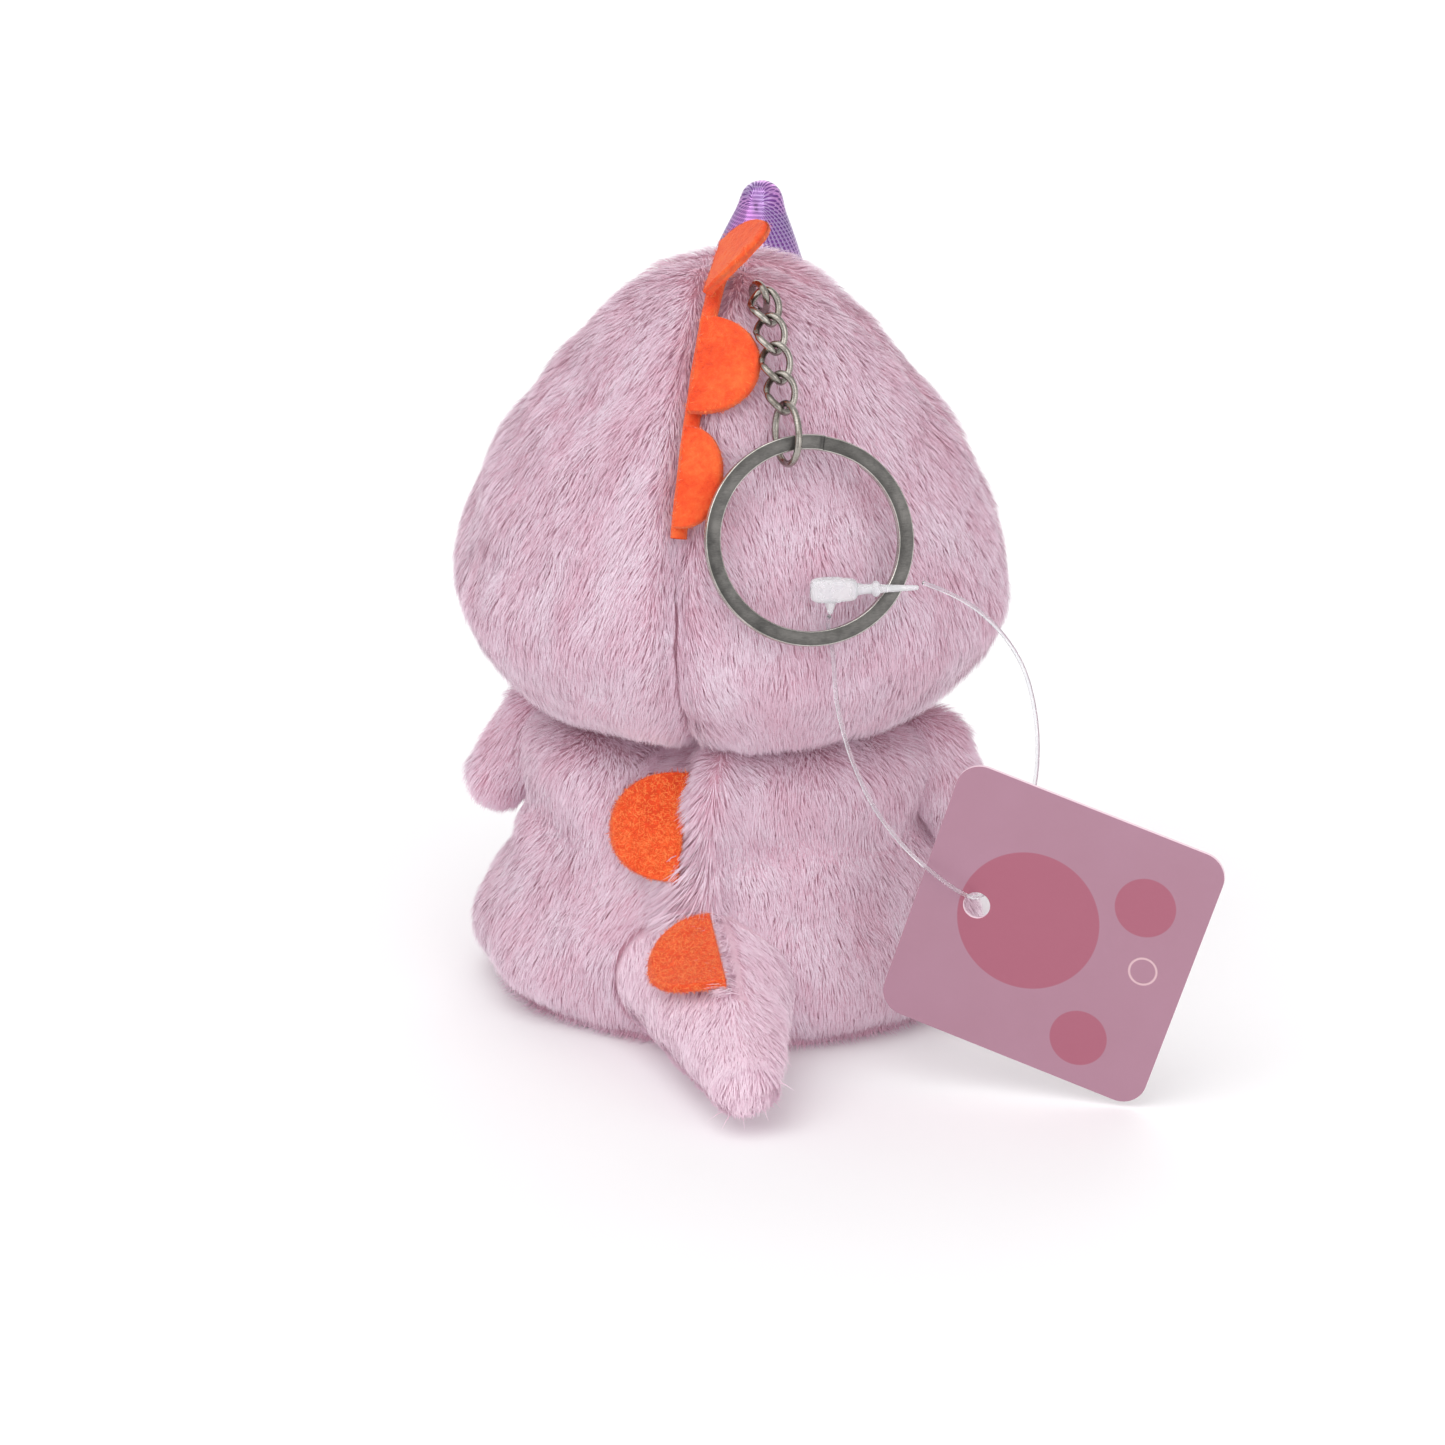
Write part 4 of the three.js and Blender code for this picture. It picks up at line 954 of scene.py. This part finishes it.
LINK_NAMES = [f"chain_link_{i}" for i in range(1, 5)]
PIVOTS = [np.array(JOINTS[f"{name}_lift"]["pos_m"]) / MM
          for name in LINK_NAMES + ["end_link", "split_ring"]]
ACROSS = unit(JOINTS["chain_link_1_lift"]["axis"])


def link_frame(upper, lower):
    """Columns X, Y and Z of a link's frame: Z up the chain, Y away from the head."""
    up = unit(upper - lower)
    side = unit(ACROSS - (ACROSS @ up) * up)
    return np.column_stack([side, np.cross(up, side), up])


def link_path(half_length, half_width, top_angle, bottom_angle, steps=110, cut=0.0):
    """An oval along Z whose plane turns from one end to the other, open by a small cut on one side."""
    turn = np.linspace(math.pi / 2 + cut, 2.5 * math.pi - cut, steps)
    along = np.cos(turn)
    side = half_width * np.sin(turn)
    plane = np.radians(bottom_angle + (top_angle - bottom_angle) * (along + 1) / 2)
    return np.column_stack([side * np.cos(plane), side * np.sin(plane), half_length * along])


def wire_link(name, path, frame_columns, centre, node, body):
    placed = path @ frame_columns.T + centre

    def radius(share):
        return CHAIN_WIRE / 2 * (1 - 0.22 * np.exp(-((np.minimum(share, 1 - share)) / 0.02) ** 2))

    piece = tube(name, placed, radius, [NICKEL], 20)
    finish_piece(piece, body, [node])


def chain():
    half_length = (LINK_PITCH + CHAIN_WIRE + LINK_PLAY) / 2
    half_width = (LINK_WIDTH - CHAIN_WIRE) / 2
    curb = link_path(half_length, half_width, -LINK_TWIST, LINK_TWIST, cut=0.035)
    for i, name in enumerate(LINK_NAMES):
        columns = link_frame(PIVOTS[i], PIVOTS[i + 1])
        wire_link(f"wire_{name}", curb, columns, (PIVOTS[i] + PIVOTS[i + 1]) / 2, name, name)
    down = unit(ANCHOR_DOWN)
    angle = math.radians(LINK_TWIST)
    first_wire = link_frame(PIVOTS[0], PIVOTS[1]) @ np.array([math.cos(angle), -math.sin(angle), 0])
    side = unit(np.cross(down, first_wire))
    columns = np.column_stack([side, np.cross(side, down), -down])
    plain = link_path(half_length, half_width, 0, 0, cut=0.035)
    centre = PIVOTS[0] + down * (LINK_PITCH / 2 - ANCHOR_FORWARD)
    wire_link("wire_anchor_link", plain, columns, centre, "anchor_link", "plush")
    half = ((END_LINK["length"] - CHAIN_WIRE) / 2, (END_LINK["width"] - CHAIN_WIRE) / 2)
    oval = link_path(*half, END_LINK["tilt"], END_LINK["tilt"], 140, cut=0.03)
    columns = link_frame(PIVOTS[4], PIVOTS[5])
    centre = PIVOTS[4] + columns[:, 2] * (CHAIN_WIRE / 2 + LINK_PLAY / 2 - half[0])
    wire_link("wire_end_link", oval, columns, centre, "end_link", "end_link")


def ring_frame():
    """The split ring's centre, and its frame's columns: X to the creature's right, Y up, Z outwards."""
    turn_out, lean_back = math.radians(RING["turn_out"]), math.radians(RING["lean_back"])
    level = np.array([math.cos(turn_out), math.sin(turn_out), 0])
    normal = np.array([-math.sin(turn_out) * math.cos(lean_back), math.cos(turn_out) * math.cos(lean_back),
                       math.sin(lean_back)])
    up = unit(np.cross(normal, level))
    up = up if up[2] > 0 else -up
    swing = math.radians(RING["swing"])
    down = -up * math.cos(swing) - level * math.sin(swing)
    centre = PIVOTS[5] + down * (RING["radius"] - RING["grip"])
    return centre, np.column_stack([-level, up, np.cross(-level, up)])


RING_CENTRE, RING_COLUMNS = ring_frame()


def in_ring(points):
    """Points given in the ring's own frame, in the frame's axes."""
    return np.asarray(points) @ RING_COLUMNS.T + RING_CENTRE


def split_ring():
    """Two flat coils with softened edges: edges painted bright as painted highlight, and a face painted
    dark as painted reflection, both of worn nickel.
    """
    steps = 620
    turn = np.linspace(0, 720 - RING["jog"], steps)
    across = smoothstep(turn, 360 - RING["jog"], 360)
    offset = (RING["coil"] + RING["split"]) / 2 * (1 - 2 * across)
    angle = np.radians(turn + RING["jog_at"])
    middle = RING["radius"] - RING["band"] / 2
    half_band, half_coil, soft = RING["band"] / 2, RING["coil"] / 2, 0.13
    section = []
    for side_x, side_y in ((-1, 1), (1, 1), (1, -1), (-1, -1)):
        corner = [(0, soft), (soft * 0.35, soft * 0.35), (soft, 0)]
        for x, y in corner if side_x * side_y < 0 else corner[::-1]:
            section.append((side_x * (half_band - x), side_y * (half_coil - y)))
    ends = np.minimum(turn, turn[-1] - turn)
    taper = 0.25 + 0.75 * smoothstep(ends, 0, 4)
    radial, axial = np.array(section).T
    radius = middle + radial[None, :]
    height = offset[:, None] + axial[None, :] * taper[:, None]
    local = np.stack([radius * np.cos(angle)[:, None], radius * np.sin(angle)[:, None], height], -1)
    sides = len(section)
    quads = grid_faces(steps, sides, close_columns=True)
    # The flat sides take the nickel painted dark, as painted reflection; the rounded edges take the nickel
    # painted bright, as painted highlight.
    flat_sides = np.isin(np.arange(sides), (2, 8))
    faces = np.tile(np.where(flat_sides, 0, 1), steps - 1)
    ends_faces = np.array([np.arange(sides)[::-1], np.arange(sides) + (steps - 1) * sides])
    piece = mesh_object("nickel_split_ring", in_ring(local.reshape(-1, 3)), (quads, ends_faces),
                        [RING_FACE_PAINTED_DARK, RING_EDGE_PAINTED_BRIGHT], (faces, np.ones(2)), smooth=False)
    finish_piece(piece, "split_ring", ["split_ring"])


# ---- loop fastener and hang tag ------------------------------------------------------------------
def nylon_material(name, clearness):
    made = Material(name, (0.93, 0.93, 0.96), 0.28, Transmission_Weight=clearness, IOR=1.5)
    haze = made.noise(600, 4, 0.6)
    made.link(Base_Color=made.ramp(haze, [(0.3, (0.86, 0.87, 0.9)), (0.7, (0.97, 0.97, 0.98))]))
    made.link(Roughness=made.ramp(haze, [(0.3, 0.35), (0.7, 0.2)]))
    return made.material


NYLON = nylon_material("nylon_moulding", 0.5)
NYLON_THREAD = nylon_material("nylon_thread", 0.92)


def lock_frame():
    rise, lean = -math.radians(LOCK["rise"]), math.radians(LOCK["lean"])
    return np.array((Matrix.Rotation(lean, 3, "X") @ Matrix.Rotation(rise, 3, "Y")))


def fastener():
    """The lock's rounded housing, its ribbed stem and its spike."""
    turned = lock_frame()

    def place(points):
        return in_ring(np.asarray(points) @ turned.T + np.array(LOCK["at"]))

    rows, columns = 40, 40
    lean = np.linspace(-math.pi / 2 + 0.03, math.pi / 2 - 0.03, rows)[:, None]
    turn = np.linspace(0, 2 * math.pi, columns, endpoint=False)[None, :]

    def squared(value, power):
        return np.sign(value) * np.abs(value) ** power

    x = LOCK["length"] / 2 * squared(np.sin(lean), 0.5) * np.ones_like(turn)
    waist = squared(np.cos(lean), 0.4)
    y = LOCK["height"] / 2 * waist * squared(np.cos(turn), 0.55) * (1 - 0.1 * (x > 0.6))
    z = LOCK["depth"] / 2 * waist * squared(np.sin(turn), 0.55)
    housing = place(np.stack([x, y, z], -1).reshape(-1, 3))
    blocks, faces = [housing], [grid_faces(rows, columns, close_columns=True)]
    reach = LOCK["length"] / 2

    def bar(path, radius):
        rings = path[:, None] + unit_rings(path, 20) * radius[:, None, None]
        blocks.append(place(rings.reshape(-1, 3)))
        faces.append(grid_faces(len(path), 20, close_columns=True) + sum(len(b) for b in blocks[:-1]))

    along = np.linspace(-0.4, LOCK["stem"] - 0.1, 60)
    stem = np.interp(along, (-0.4, 0.6, LOCK["stem"]), (0.85, 0.62, FILAMENT * 0.55))
    stem = stem + 0.42 * np.exp(-((along - 2.2) / 0.42) ** 4)
    stem[-1] = 0.05
    bar(np.column_stack([reach + along, np.zeros(60), np.zeros(60)]), stem)
    down = np.linspace(0, 1.9, 24)
    spike = np.interp(down, (0, 1.9), (0.85, 0.24))
    spike[-1] = 0.04
    bar(np.column_stack([np.full(24, -0.4), -LOCK["height"] / 2 + 0.4 - down, np.zeros(24)]), spike)
    piece = mesh_object("nylon_lock", np.concatenate(blocks), faces, [NYLON])
    finish_piece(piece, "loop_fastener", ["loop_lock"])
    return piece


def filament():
    """The nylon thread, as one open curve through its route."""
    route = spline(FILAMENT_ROUTE, 160) * MM
    curve = bpy.data.curves.new("nylon_filament", "CURVE")
    curve.dimensions = "3D"
    curve.bevel_depth = FILAMENT * MM / 2
    curve.bevel_resolution = 4
    curve.use_fill_caps = True
    line = curve.splines.new("POLY")
    line.points.add(len(route) - 1)
    for point, place in zip(line.points, route):
        point.co = (*place, 1)
    curve.materials.append(NYLON_THREAD)
    thread = bpy.data.objects.new("nylon_filament", curve)
    bpy.context.scene.collection.objects.link(thread)
    finish_piece(thread, "loop_fastener", ["loop_filament"])


def tag_columns():
    roll = math.radians(TAG["roll"])
    right = np.array([-math.cos(roll), 0, -math.sin(roll)])
    out = np.array([0.0, 1, 0])
    return np.column_stack([right, np.cross(out, right), out])


PRINTED_DISCS = ((-3.2, 0.6, 8.6), (9.2, 7.6, 3.7), (7.2, -11.0, 3.5))      # x, y and radius on the card
ROSE_INK = (0.345, 0.095, 0.148)
INK_EDGE = 0.12


def card_material(columns):
    """Printed card: a mauve ground, a plain rose disc and two small ones, paper grain and a satin coat."""
    made = Material("printed_card", (0.5, 0.24, 0.36), 0.5, Coat_Weight=0.15, Coat_Roughness=0.35)
    place = made.place()
    centre = np.array(TAG["centre"]) * MM

    def coordinate(k):
        return made.math("ADD", made.dot(place, columns[:, k]), -float(columns[:, k] @ centre))

    x, y = coordinate(0), coordinate(1)

    def disc(at_x, at_y, radius):
        dx = made.math("ADD", x, -at_x * MM)
        dy = made.math("ADD", y, -at_y * MM)
        inside = made.math("SUBTRACT", radius * MM, made.hypot(dx, dy))
        return made.math("MULTIPLY", inside, 1 / (INK_EDGE * MM), clamp=True)

    fine = made.noise(2600, 6, 0.7)
    ground = made.ramp(made.noise(90, 3), [(0.3, (0.355, 0.178, 0.242)), (0.7, (0.37, 0.19, 0.26))])
    color = ground
    for spot in PRINTED_DISCS:
        color = made.mix(disc(*spot), color, ROSE_INK)
    out = made.node("ShaderNodeNewGeometry").outputs["Normal"]
    face = made.dot(out, columns[:, 2])
    side = made.math("LESS_THAN", made.math("ABSOLUTE", face), 0.6)
    color = made.mix(side, color, (0.82, 0.62, 0.7))
    back = made.math("LESS_THAN", face, -0.6)
    color = made.mix(back, color, (0.8, 0.74, 0.74))
    mark_x = TAG["side"] / 2 - TAG["mark_inset"]
    ring = made.math("SUBTRACT", disc(mark_x, 0, TAG["mark"] + 0.12), disc(mark_x, 0, TAG["mark"] - 0.14))
    color = made.mix(made.math("MULTIPLY", ring, 0.55), color, (0.85, 0.6, 0.62))
    made.link(Base_Color=color)
    made.link(Roughness=made.ramp(fine, [(0.3, 0.42), (0.7, 0.6)]))
    height = made.math("MULTIPLY_ADD", ring, -6.0, made.math("MULTIPLY", fine, 0.35))
    made.bump(height, 0.35, 0.00004)
    return made.material


def hang_tag():
    columns = tag_columns()
    curve = bpy.data.curves.new("tag_outline", "CURVE")
    curve.dimensions = "2D"
    curve.fill_mode = "BOTH"
    curve.extrude = (TAG["card"] / 2 - 0.08) * MM
    curve.bevel_depth = 0.08 * MM
    curve.bevel_resolution = 2
    half, corner = TAG["side"] / 2, TAG["corner"]
    outline = []
    for k, (x, y) in enumerate(((1, -1), (1, 1), (-1, 1), (-1, -1))):
        for step in np.linspace(-90, 0, 12):
            angle = math.radians(step + 90 * k)
            outline.append((x * (half - corner) + corner * math.cos(angle),
                            y * (half - corner) + corner * math.sin(angle)))
    turn = np.linspace(0, 2 * math.pi, 48, endpoint=False)
    hole = [(TAG["hole_inset"] - half + TAG["hole"] * math.cos(t), TAG["hole"] * math.sin(t)) for t in turn]
    for points in (outline, hole):
        line = curve.splines.new("POLY")
        line.points.add(len(points) - 1)
        line.use_cyclic_u = True
        inward = 1 - 0.08 / half if points is outline else 1
        for point, (x, y) in zip(line.points, points):
            point.co = (x * inward * MM, y * inward * MM, 0, 1)
    shape = bpy.data.objects.new("tag_outline", curve)
    bpy.context.scene.collection.objects.link(shape)
    placed = Matrix([[*columns[0], TAG["centre"][0] * MM], [*columns[1], TAG["centre"][1] * MM],
                     [*columns[2], TAG["centre"][2] * MM], [0, 0, 0, 1]])
    bpy.context.view_layer.update()
    mesh = bpy.data.meshes.new_from_object(shape.evaluated_get(bpy.context.evaluated_depsgraph_get()))
    bpy.data.objects.remove(shape)
    mesh.transform(placed)
    mesh.materials.clear()
    mesh.materials.append(card_material(columns))
    piece = bpy.data.objects.new("card_tag", mesh)
    bpy.context.scene.collection.objects.link(piece)
    return finish_piece(piece, "hang_tag", ["hang_tag"])


# ---- camera, light and floor ---------------------------------------------------------------------
def studio():
    """A pale floor and soft light, and the camera behind the creature, a little above it."""
    azimuth, elevation = math.radians(CAMERA["azimuth"]), math.radians(CAMERA["elevation"])
    back = Vector((math.sin(azimuth) * math.cos(elevation), -math.cos(azimuth) * math.cos(elevation),
                   math.sin(elevation)))
    camera = bpy.data.objects.new("camera", bpy.data.cameras.new("camera"))
    camera.data.sensor_width = 36
    camera.data.lens = CAMERA["lens"]
    camera.location = (Vector(CAMERA["target"]) + back * CAMERA["distance"]) * MM
    camera.rotation_mode = "QUATERNION"
    camera.rotation_quaternion = (-back).to_track_quat("-Z", "Y")
    camera.data.clip_start, camera.data.clip_end = 0.01, 20
    bpy.context.scene.collection.objects.link(camera)
    bpy.context.scene.camera = camera

    floor_material = Material("studio_floor", (0.93, 0.93, 0.94), 0.7)
    grain = floor_material.noise(30, 3)
    floor_material.link(Roughness=floor_material.ramp(grain, [(0.3, 0.66), (0.7, 0.74)]))
    corners = np.array([(-1, -1, 0), (1, -1, 0), (1, 1, 0), (-1, 1, 0)]) * FLOOR_HALF
    mesh_object("studio_floor", corners, (np.array([[0, 1, 2, 3]]),), [floor_material.material])

    world = bpy.data.worlds.new("studio")
    world.use_nodes = True
    world.node_tree.nodes["Background"].inputs["Color"].default_value = (1, 1, 1, 1)
    world.node_tree.nodes["Background"].inputs["Strength"].default_value = 0.66
    bpy.context.scene.world = world
    for name, place, spread, power, color in (
        ("key", (0.25, 0.6, 1.0), 60, 1.2, (1, 0.99, 0.98)),
        ("left", (0.7, 0.8, 0.3), 50, 0.35, (0.97, 0.98, 1)),
        ("right", (-0.8, 0.7, 0.35), 50, 0.8, (1, 0.985, 0.99)),
        ("front", (0.2, -0.9, 0.5), 60, 0.6, (1, 0.99, 0.98)),
    ):
        light = bpy.data.lights.new(name, "SUN")
        light.angle = math.radians(spread)
        light.energy = power
        light.color = color
        lamp = bpy.data.objects.new(name, light)
        lamp.rotation_mode = "QUATERNION"
        lamp.rotation_quaternion = Vector(place).to_track_quat("Z", "Y")
        bpy.context.scene.collection.objects.link(lamp)
    bpy.context.scene.view_settings.view_transform = "Standard"


# ---- the scene -----------------------------------------------------------------------------------
studio()
lock = fastener()
tag = hang_tag()
filament()
make_plush()
for spine, facts in SPINES.items():
    felt_flap(spine, facts)
crest_strip()
horn()
eyes()
mouth()
chain()
split_ring()
